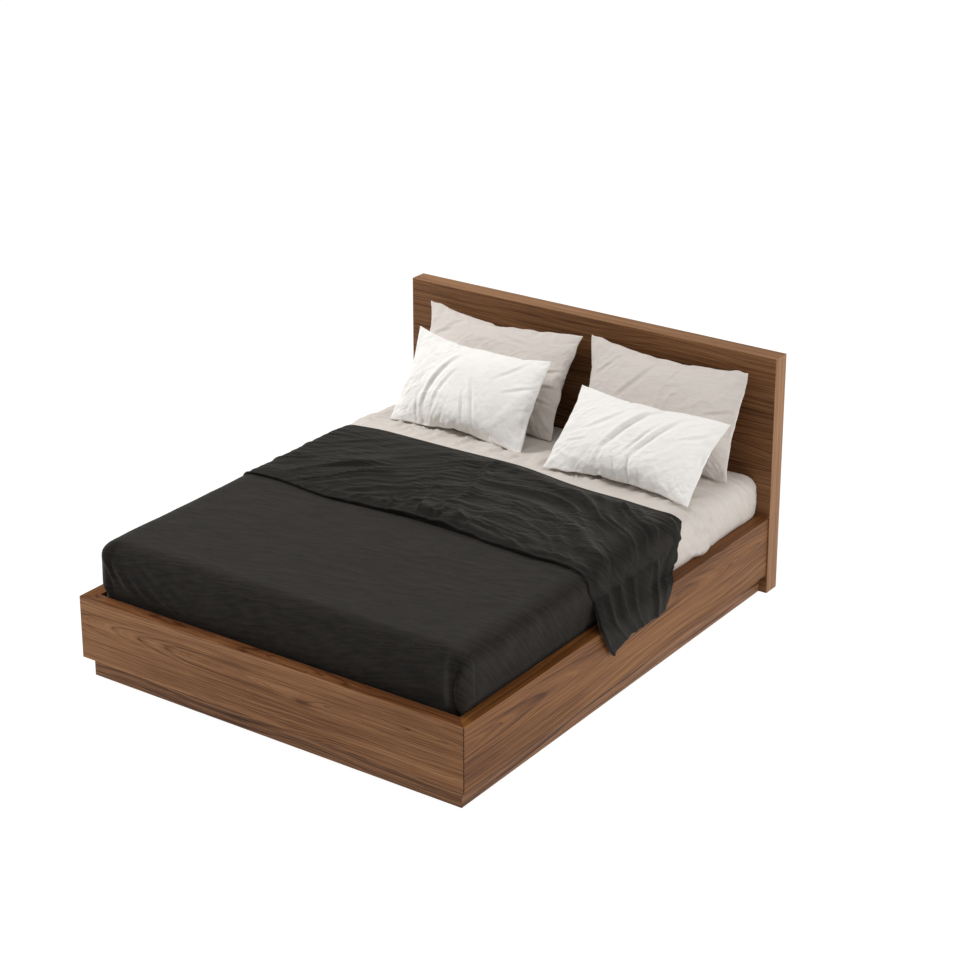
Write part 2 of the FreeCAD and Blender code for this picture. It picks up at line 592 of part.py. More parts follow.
# ---- pillows ---------------------------------------------------------------------------------------
# name: width, height, thickness, centre x, y of the bottom seam, lean from upright in degrees
PILLOWS = {
    "grey_left": (748.0, 438.0, 150.0, -369.0, 718.0, 31.0),
    "grey_right": (742.0, 434.0, 150.0, 409.0, 748.0, 28.0),
    "white_left": (642.0, 386.0, 130.0, -336.0, 540.0, 34.0),
    "white_right": (655.0, 378.0, 130.0, 474.0, 463.0, 48.5),
}
CASE_THICKNESS = 3.0
INSERT_MARGIN = 12.0            # seam of the case outside the insert


def pillow_form(width, height, thickness):
    """A lens that is thick in the middle and closes to a seam on a rectangle."""
    count = 13

    def swell(t):
        return (1 - abs(t) ** 2.4) ** 0.62

    steps = [math.sin(math.pi / 2 * (2 * i / (count - 1) - 1)) for i in range(count)]
    grid = [[Vector(a * width / 2, b * height / 2, thickness / 2 * swell(a) * swell(b))
             for b in steps] for a in steps]
    surface = Part.BSplineSurface()
    surface.interpolate(grid)
    front = surface.toShape()
    back = front.mirror(Vector(0, 0, 0), Z)
    shell = Part.makeShell([front.Faces[0], back.Faces[0]])
    shell.sewShape()
    solid = Part.makeSolid(shell)
    return solid if solid.Volume > 0 else solid.reversed()


def leaning(shape, centre_x, bottom_y, lean, half_height):
    """Stands a pillow on its bottom seam and tips it back towards the headboard."""
    tipped = shape.copy()
    tipped.rotate(Vector(0, 0, 0), X, 90 - lean)
    angle = math.radians(lean)
    up = Vector(0, math.sin(angle), math.cos(angle))
    tipped.translate(Vector(centre_x, bottom_y, 0) + up * half_height)
    return tipped


def make_pillows():
    for name, (width, height, thickness, x, y, lean) in PILLOWS.items():
        form = leaning(pillow_form(width, height, thickness), x, y, lean, height / 2)
        inside = pillow_form(width - 2 * INSERT_MARGIN, height - 2 * INSERT_MARGIN,
                             thickness - 2 * CASE_THICKNESS)
        inside = leaning(inside, x, y, lean, height / 2)
        lowest = min(v.z for v in form.tessellate(0.2)[0])
        drop = Z * (SHEET_TOP + 2 * SOFT_GAP - lowest)
        form.translate(drop)
        inside.translate(drop)
        save("pillowcase_" + name, form.cut(inside))
        save("pillow_insert_" + name, inside)


def main():
    os.makedirs("parts", exist_ok=True)
    holes = all_board_holes() + cleat_screw_pilots() + hanger_screw_pilots()
    make_rails(holes)
    make_plinth(holes)
    make_dowels()
    make_brackets()
    make_slats()
    make_cleats()
    make_beam()
    make_headboard(holes)
    make_mattress_and_sheets()
    make_throw()
    make_pillows()


main()
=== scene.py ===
"""Looks for the platform bed: walnut frame, slatted base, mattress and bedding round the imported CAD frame.

Everything is in metres in the CAD frame: +X to the right seen from the foot, +Y to the headboard, +Z up.
"""

import math
from collections import namedtuple

import bpy
import numpy as np
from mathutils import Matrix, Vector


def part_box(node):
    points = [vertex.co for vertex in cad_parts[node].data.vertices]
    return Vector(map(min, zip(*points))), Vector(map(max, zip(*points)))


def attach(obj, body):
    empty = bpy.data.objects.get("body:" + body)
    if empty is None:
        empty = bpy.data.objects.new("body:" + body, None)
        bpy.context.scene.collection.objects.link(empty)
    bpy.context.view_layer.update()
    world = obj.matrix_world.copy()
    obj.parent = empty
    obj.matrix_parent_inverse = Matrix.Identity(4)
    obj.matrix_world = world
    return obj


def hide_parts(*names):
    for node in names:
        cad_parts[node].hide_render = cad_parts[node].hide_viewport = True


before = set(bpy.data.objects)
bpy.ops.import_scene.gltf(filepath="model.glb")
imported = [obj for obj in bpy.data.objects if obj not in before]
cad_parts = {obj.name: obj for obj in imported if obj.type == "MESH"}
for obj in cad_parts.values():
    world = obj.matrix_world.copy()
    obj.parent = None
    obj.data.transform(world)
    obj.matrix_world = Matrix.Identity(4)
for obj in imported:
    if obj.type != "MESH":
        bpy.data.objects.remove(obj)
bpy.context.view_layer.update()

# ---- Driving values ----------------------------------------------

CAMERA_PLACE = (4.9328, -6.7867, 4.1865)
CAMERA_AZIMUTH = 35.027
CAMERA_ELEVATION = 20.294
CAMERA_LENS = 90.76
CAMERA_SHIFT = -0.12
CAMERA_SENSOR = 36.0

MATTRESS_LOW, MATTRESS_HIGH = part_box("mattress")
SHEET_LOW, SHEET_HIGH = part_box("fitted_sheet")
SPREAD_LOW, SPREAD_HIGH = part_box("bedspread")
RAIL_LOW, RAIL_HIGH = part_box("side_rail_right")

# The rounding of the mattress's edge, bare and under each cloth, and how thick the cloths are.
CORE_EDGE, SHEET_EDGE, SPREAD_EDGE = 0.050, 0.085, 0.062
SHEET_CLOTH, SPREAD_CLOTH, THROW_CLOTH = 0.0015, 0.0022, 0.0018

HALF_PI = math.pi / 2

# Brightness of the studio at the horizon and overhead.
SKY_LOW, SKY_HIGH = 0.10, 0.82
# Round lamps that face the bed: name, place, width and power.
LAMPS = [("key", (-4.0, -1.1, 4.8), 2.0, 232.0), ("fill", (5.4, 0.6, 1.8), 2.6, 95.0)]
# The floor's half width, its level and how bright it is by itself.
FLOOR_HALF, FLOOR_LEVEL, FLOOR_GLOW = 40.0, -0.0006, 0.96

# ---- Small tools -------------------------------------------------


def smooth(t):
    """0 to 1 with soft ends."""
    t = np.clip(t, 0.0, 1.0)
    return t * t * (3 - 2 * t)


def noise(x, y, seed):
    """Smooth random lumps about one unit apart, from -1 to 1."""
    table = np.random.default_rng(seed).uniform(-1, 1, (256, 256))
    column, row = np.floor(x).astype(int), np.floor(y).astype(int)
    fx, fy = smooth(x - column), smooth(y - row)
    near = table[column & 255, row & 255] * (1 - fx) + table[(column + 1) & 255, row & 255] * fx
    far = table[column & 255, (row + 1) & 255] * (1 - fx) + table[(column + 1) & 255, (row + 1) & 255] * fx
    return near * (1 - fy) + far * fy


def cloudy(x, y, seed, octaves=3):
    """Several sizes of noise added together."""
    total = 0.0
    for octave in range(octaves):
        total = total + noise(x * 2**octave, y * 2**octave, seed + octave) / 2**octave
    return total


def ridges(x, y, angle, long, short, seed, warp=0.35):
    """Crests of cloth that run mostly at an angle (degrees): 0 in the hollows, 1 on the sharp crests."""
    c, s = math.cos(math.radians(angle)), math.sin(math.radians(angle))
    bend_x = warp * cloudy(x / long * 1.5, y / long * 1.5, seed + 50)
    along = (x * c + y * s) / long
    across = (-x * s + y * c) / short
    lumps = noise(along + bend_x, across + bend_x * long / short * 0.6, seed)
    return (1 - np.abs(lumps)) ** 3


def crease(x, y, at, angle, length, width, bend=0.0):
    """One fold in cloth: a crest with a hollow beside it, fading towards both ends."""
    c, s = math.cos(math.radians(angle)), math.sin(math.radians(angle))
    along = (x - at[0]) * c + (y - at[1]) * s
    across = -(x - at[0]) * s + (y - at[1]) * c - bend * along * along
    fade = np.clip(1 - (along / (length / 2)) ** 2, 0, 1) ** 1.5
    side = across / width
    return fade * (np.exp(-(side**2)) - 0.75 * np.exp(-((side - 1.5) ** 2) / 0.8))


def new_object(name, points, faces):
    """A mesh object with smooth faces."""
    mesh = bpy.data.meshes.new(name)
    mesh.from_pydata([tuple(p) for p in points], [], faces)
    mesh.polygons.foreach_set("use_smooth", [True] * len(mesh.polygons))
    mesh.update()
    piece = bpy.data.objects.new(name, mesh)
    bpy.context.scene.collection.objects.link(piece)
    return piece


def grid_faces(rows, columns):
    """Quads between the points of a grid listed row by row."""
    starts = [i * columns + j for i in range(rows - 1) for j in range(columns - 1)]
    return [(k, k + 1, k + columns + 1, k + columns) for k in starts]


def grid_normals(points):
    """Unit normals of a grid of points, from its own differences."""
    across = np.gradient(points, axis=0)
    along = np.gradient(points, axis=1)
    normals = np.cross(across, along)
    return normals / np.maximum(np.linalg.norm(normals, axis=2, keepdims=True), 1e-12)


def new_cloth(name, points, thickness, offset=-1.0):
    """A grid of points as cloth: an offset of -1 adds its thickness inside the grid, 0 on both sides."""
    piece = new_object(name, points.reshape(-1, 3), grid_faces(*points.shape[:2]))
    solid = piece.modifiers.new("thickness", "SOLIDIFY")
    solid.thickness = thickness
    solid.offset = offset
    return piece


def settle(piece, body, slot, material, *nodes):
    """Puts a new piece on its body with its finish, in place of CAD nodes."""
    piece.data.materials.append(material)
    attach(piece, body)
    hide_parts(*nodes)


# ---- Materials ---------------------------------------------------


class Shader:
    """Writes one procedural material, node by node."""

    def __init__(self, name, **surface):
        self.material = bpy.data.materials.new(name)
        self.material.use_nodes = True
        self.tree = self.material.node_tree
        self.tree.nodes.clear()
        self.surface = self.add("ShaderNodeBsdfPrincipled")
        output = self.add("ShaderNodeOutputMaterial")
        self.tree.links.new(self.surface.outputs[0], output.inputs["Surface"])
        for key, value in surface.items():
            self.surface.inputs[key.replace("_", " ")].default_value = value
        self.place = self.add("ShaderNodeTexCoord").outputs["Object"]

    def add(self, kind, **settings):
        node = self.tree.nodes.new(kind)
        for key, value in settings.items():
            setattr(node, key, value)
        return node

    def plug(self, socket, value):
        if isinstance(value, bpy.types.NodeSocket):
            self.tree.links.new(value, socket)
        elif value is not None:
            socket.default_value = value

    def math(self, operation, *values):
        node = self.add("ShaderNodeMath", operation=operation)
        for socket, value in zip(node.inputs, values):
            self.plug(socket, value)
        return node.outputs[0]

    def plus(self, a, b):
        return self.math("ADD", a, b)

    def minus(self, a, b):
        return self.math("SUBTRACT", a, b)

    def times(self, a, b):
        return self.math("MULTIPLY", a, b)

    def span(self, value, low, high, to_low=0.0, to_high=1.0):
        """Maps a value's range onto another, with soft ends."""
        node = self.add("ShaderNodeMapRange", interpolation_type="SMOOTHSTEP")
        for socket, item in zip(node.inputs, (value, low, high, to_low, to_high)):
            self.plug(socket, item)
        return node.outputs[0]

    def stretch(self, vector, by, operation="MULTIPLY"):
        node = self.add("ShaderNodeVectorMath", operation=operation)
        self.plug(node.inputs[0], vector)
        node.inputs[1].default_value = by
        return node.outputs[0]

    def shift(self, vector, by):
        return self.stretch(vector, by, "ADD")

    def axes(self, vector):
        node = self.add("ShaderNodeSeparateXYZ")
        self.plug(node.inputs[0], vector)
        return list(node.outputs)

    def vector(self, x, y, z):
        node = self.add("ShaderNodeCombineXYZ")
        for socket, value in zip(node.inputs, (x, y, z)):
            self.plug(socket, value)
        return node.outputs[0]

    def noise(self, place, scale=1.0, detail=2.0, roughness=0.5, distortion=0.0, kind="3D", socket="Vector"):
        node = self.add("ShaderNodeTexNoise", noise_dimensions=kind)
        self.plug(node.inputs[socket], place)
        settings = {"Scale": scale, "Detail": detail, "Roughness": roughness, "Distortion": distortion}
        for key, value in settings.items():
            node.inputs[key].default_value = value
        return node.outputs[0]

    def noise_line(self, value, scale, detail, roughness):
        """Noise along a single value."""
        return self.noise(value, scale, detail, roughness, kind="1D", socket="W")

    def ramp(self, value, *stops):
        """Colours at places from 0 to 1."""
        node = self.add("ShaderNodeValToRGB")
        self.plug(node.inputs[0], value)
        elements = node.color_ramp.elements
        while len(elements) < len(stops):
            elements.new(0.5)
        for element, (place, colour) in zip(elements, stops):
            element.position = place
            element.color = (*colour, 1.0)
        return node.outputs[0]

    def mix(self, share, a, b, blend="MIX"):
        node = self.add("ShaderNodeMix", data_type="RGBA", blend_type=blend)
        for index, value in ((0, share), (6, a), (7, b)):
            if isinstance(value, tuple) and len(value) == 3:
                value = (*value, 1.0)
            self.plug(node.inputs[index], value)
        return node.outputs[2]

    def bump(self, height, distance, strength=1.0, normal=None):
        node = self.add("ShaderNodeBump")
        node.inputs["Strength"].default_value = strength
        node.inputs["Distance"].default_value = distance
        self.plug(node.inputs["Height"], height)
        self.plug(node.inputs["Normal"], normal)
        return node.outputs[0]

    def finish(self, colour=None, roughness=None, normal=None):
        self.plug(self.surface.inputs["Base Color"], colour)
        self.plug(self.surface.inputs["Roughness"], roughness)
        self.plug(self.surface.inputs["Normal"], normal)
        return self.material


def srgb(red, green, blue):
    """A screen colour, 0 to 255 with no part near 0, as the linear numbers that a shader takes."""
    return tuple(((c / 255 + 0.055) / 1.055) ** 2.4 for c in (red, green, blue))


# Each wood's dark, middle and light tones.
WALNUT = srgb(86, 51, 27), srgb(133, 91, 58), srgb(163, 119, 82)
# The headboard's walnut is the same walnut made darker: painted shade for the pillows and bedding in front of
# it.
HEADBOARD_SHADED_WALNUT = srgb(72, 42, 23), srgb(112, 76, 48), srgb(138, 99, 68)
PLINTH_WALNUT = srgb(64, 38, 24), srgb(110, 74, 48), srgb(143, 103, 72)
WARM_WALNUT = srgb(76, 43, 20), srgb(116, 75, 41), srgb(142, 98, 58)
# The edging's walnut is the same walnut made lighter and greyer: painted light for the light on the
# headboard's top and side edges.
EDGING_LIT_WALNUT = srgb(112, 74, 46), srgb(142, 103, 71), srgb(166, 126, 92)
PINE = srgb(178, 140, 96), srgb(205, 172, 128), srgb(222, 194, 152)
BEECH = srgb(176, 132, 94), srgb(203, 162, 121), srgb(218, 182, 143)
PINE_GRAIN = {"ring": 0.006, "gloss": 0.60, "contrast": 0.8}
BEECH_GRAIN = {"ring": 0.004, "gloss": 0.55, "contrast": 0.5}
# Painted shade on the upward faces of the foot rail and the side rails, as tones against their faces: darker,
# as if shaded by the bedding above them.
FOOT_TOP_SHADE, SIDE_TOP_SHADE = (0.62, 0.52, 0.44), (0.92, 0.82, 0.68)


def wood(name, colours, along, across, depth, heart, lean=0.0, ring=0.0085, seed=0.0, gloss=0.42,
         contrast=1.0, knot=None, end=None, top_shade=None):
    """Board cut from a round log: growth rings about a heart line that runs beside the board.

    along, across and depth are axes as 0, 1 or 2. heart is the heart line's place on across and depth,
    and lean is how fast it slants off the board, which turns straight grain into arches. knot is a small
    knot's place along and across, end is where a mitre line shows, and top_shade is painted shade: the
    tone that darkens upward faces, as if the bedding above them shaded them.
    """
    s = Shader(name, Roughness=gloss, IOR=1.48, Specular_IOR_Level=0.12)
    dark, mid, light = colours
    axes = s.axes(s.place)
    board = s.shift(s.vector(axes[along], axes[across], axes[depth]), (seed * 3.7, seed * 1.3, seed * 2.1))
    slow = s.minus(s.noise(s.stretch(board, (1.3, 5.0, 5.0)), detail=1.0), 0.5)
    wave = s.minus(s.noise(s.stretch(board, (5.0, 22.0, 22.0)), detail=2.0), 0.5)
    wander = s.plus(s.times(slow, 0.085), s.times(wave, 0.012))
    if knot:
        beside = s.times(s.minus(axes[along], knot[0]), 14.0)
        above = s.times(s.minus(axes[across], knot[1]), 42.0)
        away = s.plus(s.math("POWER", beside, 2.0), s.math("POWER", above, 2.0))
        swirl = s.math("POWER", math.e, s.times(away, -1.0))
        wander = s.plus(wander, s.times(swirl, 0.020))
    slant = s.times(axes[along], lean)
    v = s.plus(s.minus(axes[across], heart[0]), wander)
    d = s.plus(s.minus(axes[depth], heart[1]), slant)
    radius = s.math("SQRT", s.plus(s.math("POWER", v, 2.0), s.math("POWER", d, 2.0)))
    # Growth rings: each darkens slowly and ends in a thin dark line.
    uneven = s.times(s.noise_line(radius, 14.0, 3.0, 0.6), 3.5)
    phase = s.math("FRACT", s.plus(s.math("DIVIDE", radius, ring), uneven))
    late = s.math("POWER", phase, 7.0)
    strength = s.span(s.noise(s.stretch(board, (2.2, 40.0, 40.0)), detail=2.0), 0.40, 0.62, 0.1, 1.0)
    line = s.times(late, strength)
    bands = s.noise_line(radius, 85.0, 5.0, 0.78)
    fibre = s.noise(s.stretch(board, (7.0, 420.0, 420.0)), detail=3.0, roughness=0.6)
    streak = s.noise(s.stretch(board, (2.4, 130.0, 130.0)), detail=4.0, roughness=0.7)
    broad = s.noise(s.stretch(board, (0.9, 9.0, 9.0)), detail=3.0)
    tone = 0.58
    for part, share in ((bands, 1.35), (fibre, 0.8), (streak, 1.3), (broad, 1.1)):
        tone = s.plus(tone, s.times(s.minus(part, 0.5), share * contrast))
    tone = s.minus(tone, s.times(line, 0.75 * contrast))
    if knot:
        tone = s.minus(tone, s.times(s.math("POWER", swirl, 3.0), 0.35))
    colour = s.ramp(tone, (0.08, dark), (0.52, mid), (0.95, light))
    # Pores: short dark dashes along the grain.
    pore = s.noise(s.stretch(board, (38.0, 1500.0, 1500.0)), detail=1.0)
    dash = s.span(pore, 0.64, 0.72)
    dash = s.times(dash, s.span(phase, 0.3, 0.9, 0.25, 1.0))
    colour = s.mix(s.times(dash, 0.55), colour, tuple(c * 0.55 for c in dark))
    # Painted shade: faces that point up are darkened, as if shaded by the bedding above them.
    if top_shade:
        up = s.axes(s.add("ShaderNodeTexCoord").outputs["Normal"])[2]
        colour = s.mix(s.span(up, 0.5, 0.9), colour, top_shade, blend="MULTIPLY")
    if end:
        mitre = s.span(s.math("ABSOLUTE", axes[along]), end - 0.0032, end - 0.0022)
        colour = s.mix(s.times(mitre, 0.7), colour, tuple(c * 0.3 for c in dark))
    grooves = s.plus(dash, s.times(line, 0.35))
    height = s.minus(s.times(fibre, 0.5), grooves)
    rough = s.plus(s.times(fibre, 0.16), gloss - 0.08)
    return s.finish(colour, rough, s.bump(height, 0.00018, 0.6))


# Long faint streaks, and most cloths' small wrinkles, cross the weave a little askew (degrees).
STREAK_TURN = 12


def cloth(name, colour, thread=0.0011, slub=0.12, mottle=0.1, sheen=0.0, crumple=0.0,
          crumple_turn=STREAK_TURN):
    """Plain woven cloth: threads both ways, slubs along them and a little unevenness of colour.

    crumple is the height of its small wrinkles and crumple_turn the way they run (degrees).
    """
    s = Shader(name, Roughness=0.9, IOR=1.45, Specular_IOR_Level=0.12, Sheen_Weight=sheen,
               Sheen_Roughness=0.45)
    s.surface.inputs["Sheen Tint"].default_value = (1.0, 0.95, 0.88, 1.0)
    x, y, z = s.axes(s.place)
    weft = s.plus(x, s.times(z, 0.83))
    warp = s.plus(y, s.times(z, 0.91))
    flat = s.vector(weft, warp, 0.0)
    turn = math.tau / thread
    across, along = (s.math("SINE", s.times(way, turn)) for way in (weft, warp))
    over = s.times(across, along)
    slub_weft = s.noise(s.stretch(flat, (28.0, 700.0, 1.0)), detail=2.0)
    slub_warp = s.noise(s.stretch(flat, (700.0, 28.0, 1.0)), detail=2.0)
    slubs = s.minus(s.plus(slub_weft, slub_warp), 1.0)

    def turned(degrees):
        c, n = math.cos(math.radians(degrees)), math.sin(math.radians(degrees))
        run = s.plus(s.times(weft, c), s.times(warp, n))
        rise = s.minus(s.times(warp, c), s.times(weft, n))
        return s.vector(run, rise, 0.0)

    streaks = s.noise(s.stretch(turned(STREAK_TURN), (9.0, 95.0, 1.0)), detail=5.0, roughness=0.7)
    patch = s.span(streaks, 0.36, 0.64, -0.5, 0.5)
    gain = 1.0
    for part, share in ((slubs, slub * 2), (patch, mottle * 2), (over, 0.06)):
        gain = s.plus(gain, s.times(part, share))
    tinted = s.vector(*(s.times(gain, c) for c in colour))
    wrinkles = None
    if crumple:
        lumps = s.noise(s.stretch(turned(crumple_turn), (6.5, 28.0, 1.0)), detail=4.0, distortion=0.4)
        valley = s.math("ABSOLUTE", s.minus(lumps, 0.5))
        crests = s.minus(1.0, s.times(valley, 4.0))
        places = s.noise(s.stretch(turned(crumple_turn), (2.2, 4.5, 1.0)), detail=1.0)
        crests = s.times(crests, s.span(places, 0.40, 0.60, 0.25, 1.0))
        wrinkles = s.bump(crests, crumple, 0.5)
    height = s.plus(s.times(over, 0.3), slubs)
    return s.finish(tinted, None, s.bump(height, thread * 0.35, 0.5, wrinkles))


def brushed_metal(name, colour, rough, grain):
    s = Shader(name, Metallic=1.0, Roughness=rough)
    streak = s.noise(s.stretch(s.place, grain), detail=3.0)
    tone = s.ramp(streak, (0.3, tuple(c * 0.8 for c in colour)), (0.7, colour))
    return s.finish(tone, s.span(streak, 0.3, 0.7, rough - 0.08, rough + 0.1), s.bump(streak, 0.0001, 0.3))


def speckled(name, colour, scale, detail, shade, low, high, height):
    """Painted metal or moulded plastic with a fine even grain.

    shade is how dark its hollows are, and low and high are its least and greatest roughness.
    """
    s = Shader(name, Roughness=(low + high) / 2)
    grain = s.noise(s.place, scale, detail)
    tone = s.ramp(grain, (0.3, tuple(c * shade for c in colour)), (0.7, colour))
    return s.finish(tone, s.span(grain, 0.3, 0.7, low, high), s.bump(grain, height, 0.4))


# ---- The frame, in its woods and metals ---------------------------

X, Y, Z = 0, 1, 2


def dress_frame():
    """Gives every CAD node that stays in view its material."""
    foot_y = float(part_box("foot_rail")[0][1])
    side_x = float(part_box("side_rail_right")[1][0])
    head_y = float(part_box("headboard_front_panel")[0][1])
    rail_z = (float(RAIL_LOW[2]) + float(RAIL_HIGH[2])) / 2
    looks = {
        # The rails' upward faces get painted shade, darker as if shaded by the bedding above them.
        "foot_rail": wood("walnut foot rail", WALNUT, X, Z, Y, (rail_z + 0.03, foot_y + 0.02), lean=0.05,
                          ring=0.007, seed=1, knot=(0.18, 0.208), end=side_x, top_shade=FOOT_TOP_SHADE),
        "side_rail_right": wood("walnut right rail", WARM_WALNUT, Y, Z, X, (rail_z + 0.05, side_x - 0.10),
                                lean=0.025, ring=0.007, seed=2, end=-foot_y, top_shade=SIDE_TOP_SHADE),
        "side_rail_left": wood("walnut left rail", WARM_WALNUT, Y, Z, X, (rail_z - 0.05, -side_x + 0.10),
                               lean=0.025, ring=0.007, seed=3, end=-foot_y, top_shade=SIDE_TOP_SHADE),
        "plinth": wood("walnut plinth", PLINTH_WALNUT, X, Z, Y, (0.20, foot_y + 0.1), seed=4, contrast=1.2),
        "plinth_side": wood("walnut plinth sides", PLINTH_WALNUT, Y, Z, X, (0.22, 0.1), seed=5, contrast=1.2),
        # The headboard's darker walnut is painted shade from the pillows and bedding in front of it.
        "headboard": wood("walnut headboard", HEADBOARD_SHADED_WALNUT, X, Z, Y, (0.62, head_y + 0.06), lean=0.03,
                          ring=0.014, seed=6, contrast=0.85),
        # The edging's paler walnut is painted light on the headboard's top and side edges.
        "edging_top": wood("walnut top edging", EDGING_LIT_WALNUT, X, Y, Z, (0.9, 0.7), seed=7),
        "edging_side": wood("walnut side edging", EDGING_LIT_WALNUT, Z, Y, X, (0.85, 0.6), seed=8),
        "pine_x": wood("pine across", PINE, X, Y, Z, (-1.6, 0.1), seed=9, **PINE_GRAIN),
        "pine_y": wood("pine along", PINE, Y, X, Z, (1.3, 0.1), seed=10, **PINE_GRAIN),
        "pine_z": wood("pine upright", PINE, Z, X, Y, (0.3, 1.3), seed=11, **PINE_GRAIN),
        "beech": wood("beech dowels", BEECH, Y, X, Z, (0.3, 0.3), seed=12, **BEECH_GRAIN),
        "steel": brushed_metal("zinc steel", srgb(196, 198, 202), 0.36, (40.0, 400.0, 900.0)),
        "bracket": speckled("painted steel", srgb(58, 58, 60), 900.0, 2.0, 0.85, 0.42, 0.58, 0.0002),
        "plastic": speckled("black plastic", srgb(34, 34, 36), 1400.0, 3.0, 0.9, 0.48, 0.62, 0.00015),
    }
    shared = {
        "plinth": ["plinth_front", "plinth_back"],
        "plinth_side": ["plinth_left", "plinth_right"],
        "headboard": ["headboard_front_panel", "headboard_back_panel"],
        "edging_top": ["headboard_edging_top"],
        "edging_side": ["headboard_edging_left", "headboard_edging_right"],
        "pine_x": ["headboard_top_rail", "headboard_bottom_rail"],
        "pine_y": ["slat_cleat_left", "slat_cleat_right", "centre_beam"],
        "pine_z": ["plinth_corner_blocks", "centre_leg_foot", "centre_leg_head"],
        "beech": ["plinth_dowels", "mitre_dowels"],
        "steel": ["bracket_bolts", "hanger_screws", "leg_bolts", "cleat_screws", "slat_screws"],
        "bracket": ["corner_brackets", "beam_hangers"],
        "plastic": ["leg_glides"],
    }
    look_of = {name: look for look, names in shared.items() for name in names}
    for name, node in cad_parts.items():
        look = look_of.get(name, name)
        if name.startswith("slat_") and name not in look_of:
            look = "pine_x"
        if name.startswith("headboard_stile"):
            look = "pine_z"
        if look in looks:
            node.data.materials.clear()
            node.data.materials.append(looks[look])


# ---- Cloth that is folded over the mattress ----------------------


class Wrap:
    """Folds flat cloth over a mattress: over the rounded edge, down the wall and, if asked, in underneath.

    Flat places are (u, v): u across the bed, v along it, both measured over the cloth.
    """

    def __init__(self, half, foot, head, top, radius, wall, under=0.0, under_radius=0.0, square=(2.0, 2.0)):
        self.inner_x = half - radius
        self.inner_foot = foot + radius
        self.inner_head = head - radius
        self.top = top
        self.radius = radius
        self.under_radius = under_radius
        self.straight = wall - radius - (under_radius if under else 0.0)
        self.first = radius * HALF_PI
        self.second = under_radius * HALF_PI if under else 0.0
        self.under = under
        self.square = square
        self.length = self.first + self.straight + self.second + under

    def profile(self, depth):
        """How far out and down the cloth is at a depth over the edge, and which way it faces."""
        bend = np.minimum(depth / self.radius, HALF_PI)
        out = self.radius * np.sin(bend)
        down = self.radius * (1 - np.cos(bend)) + np.clip(depth - self.first, 0, self.straight)
        if self.second:
            past = depth - self.first - self.straight
            turn = np.clip(past / self.under_radius, 0, HALF_PI)
            out = out - self.under_radius * (1 - np.cos(turn)) - np.maximum(past - self.second, 0)
            down = down + self.under_radius * np.sin(turn)
            bend = bend + turn
        return out, down, bend

    def over_edge(self, u, v):
        """How far a flat place is past the edge, and its share of the way round a corner from end to side."""
        a = np.maximum(np.abs(u) - self.inner_x, 0)
        b = np.maximum(np.maximum(self.inner_foot - v, v - self.inner_head), 0)
        share = np.where(a >= b, 1 - 0.5 * b / np.maximum(a, 1e-9), 0.5 * a / np.maximum(b, 1e-9))
        return np.maximum(a, b), share

    def grid(self, side, top, *stops):
        """Flat places all over the cloth: the spacing down its sides and over its top, and stops along it."""
        reach = self.inner_x + self.length
        u = lines((-reach, 0), (-self.inner_x, side), (self.inner_x, top), (reach, side))
        v = lines((self.inner_foot - self.length, 0), *stops)
        return np.meshgrid(u, v, indexing="ij")

    def place(self, u, v, lift=0.0, slide=0.0):
        """Points on the folded cloth, lifted off it by a height and slid round its corners by a share."""
        depth, share = self.over_edge(u, v)
        angle = (share + slide) * HALF_PI
        out, down, bend = self.profile(depth)
        power = np.where(v > 0, self.square[1], self.square[0])
        corner = (np.abs(np.cos(angle)) ** power + np.abs(np.sin(angle)) ** power) ** (-1 / power)
        out = out * corner
        side = np.sign(u) * np.sin(angle)
        end = np.where(v < 0, -1, 1) * np.cos(angle)
        x = np.clip(u, -self.inner_x, self.inner_x) + side * out
        y = np.clip(v, self.inner_foot, self.inner_head) + end * out
        z = self.top - down
        points = np.stack([x, y, z], axis=-1)
        facing = np.stack([side * np.sin(bend), end * np.sin(bend), np.cos(bend)], axis=-1)
        return points + facing * np.asarray(lift)[..., None]


# How far the bedding swells out over the rails.
SHEET_BULGE = 0.016
SPREAD_BULGE = 0.012
# How far the bed's top drops behind the pillows.
HEAD_SAG = 0.024
# Soft folds on the foot face by the left corner: middle along the width and down the face,
# direction (degrees), length and height.
LEFT_FOLDS = [(-0.762, 0.130, -52, 0.17, 0.0120), (-0.705, 0.138, -40, 0.24, 0.0145),
              (-0.635, 0.150, -31, 0.30, 0.0140), (-0.550, 0.160, -27, 0.32, 0.0110),
              (-0.455, 0.170, -24, 0.26, 0.0065)]
# The corner pleat: its share of the way round the corner, how far its top curves and how far it
# stands out.
PLEAT_AT, PLEAT_SWEEP, PLEAT_STEP = 0.40, 0.22, 0.010


def lines(*stops):
    """Grid line places: each stop is (place, spacing up to it)."""
    places = [stops[0][0]]
    for place, spacing in stops[1:]:
        count = max(1, round((place - places[-1]) / spacing))
        places += list(np.linspace(places[-1], place, count + 1)[1:])
    return np.array(places)


def sag(points, low, top):
    """Lowers the bedding's top behind the pillows, less towards its underside."""
    share = smooth((points[..., 1] - 0.80) / 0.15) * np.clip((points[..., 2] - low) / (top - low), 0, 1)
    points[..., 2] -= HEAD_SAG * share
    return points


def extent(low, high):
    """A box's half width, foot, head, underside and top."""
    return float(high[0]), float(low[1]), float(high[1]), float(low[2]), float(high[2])


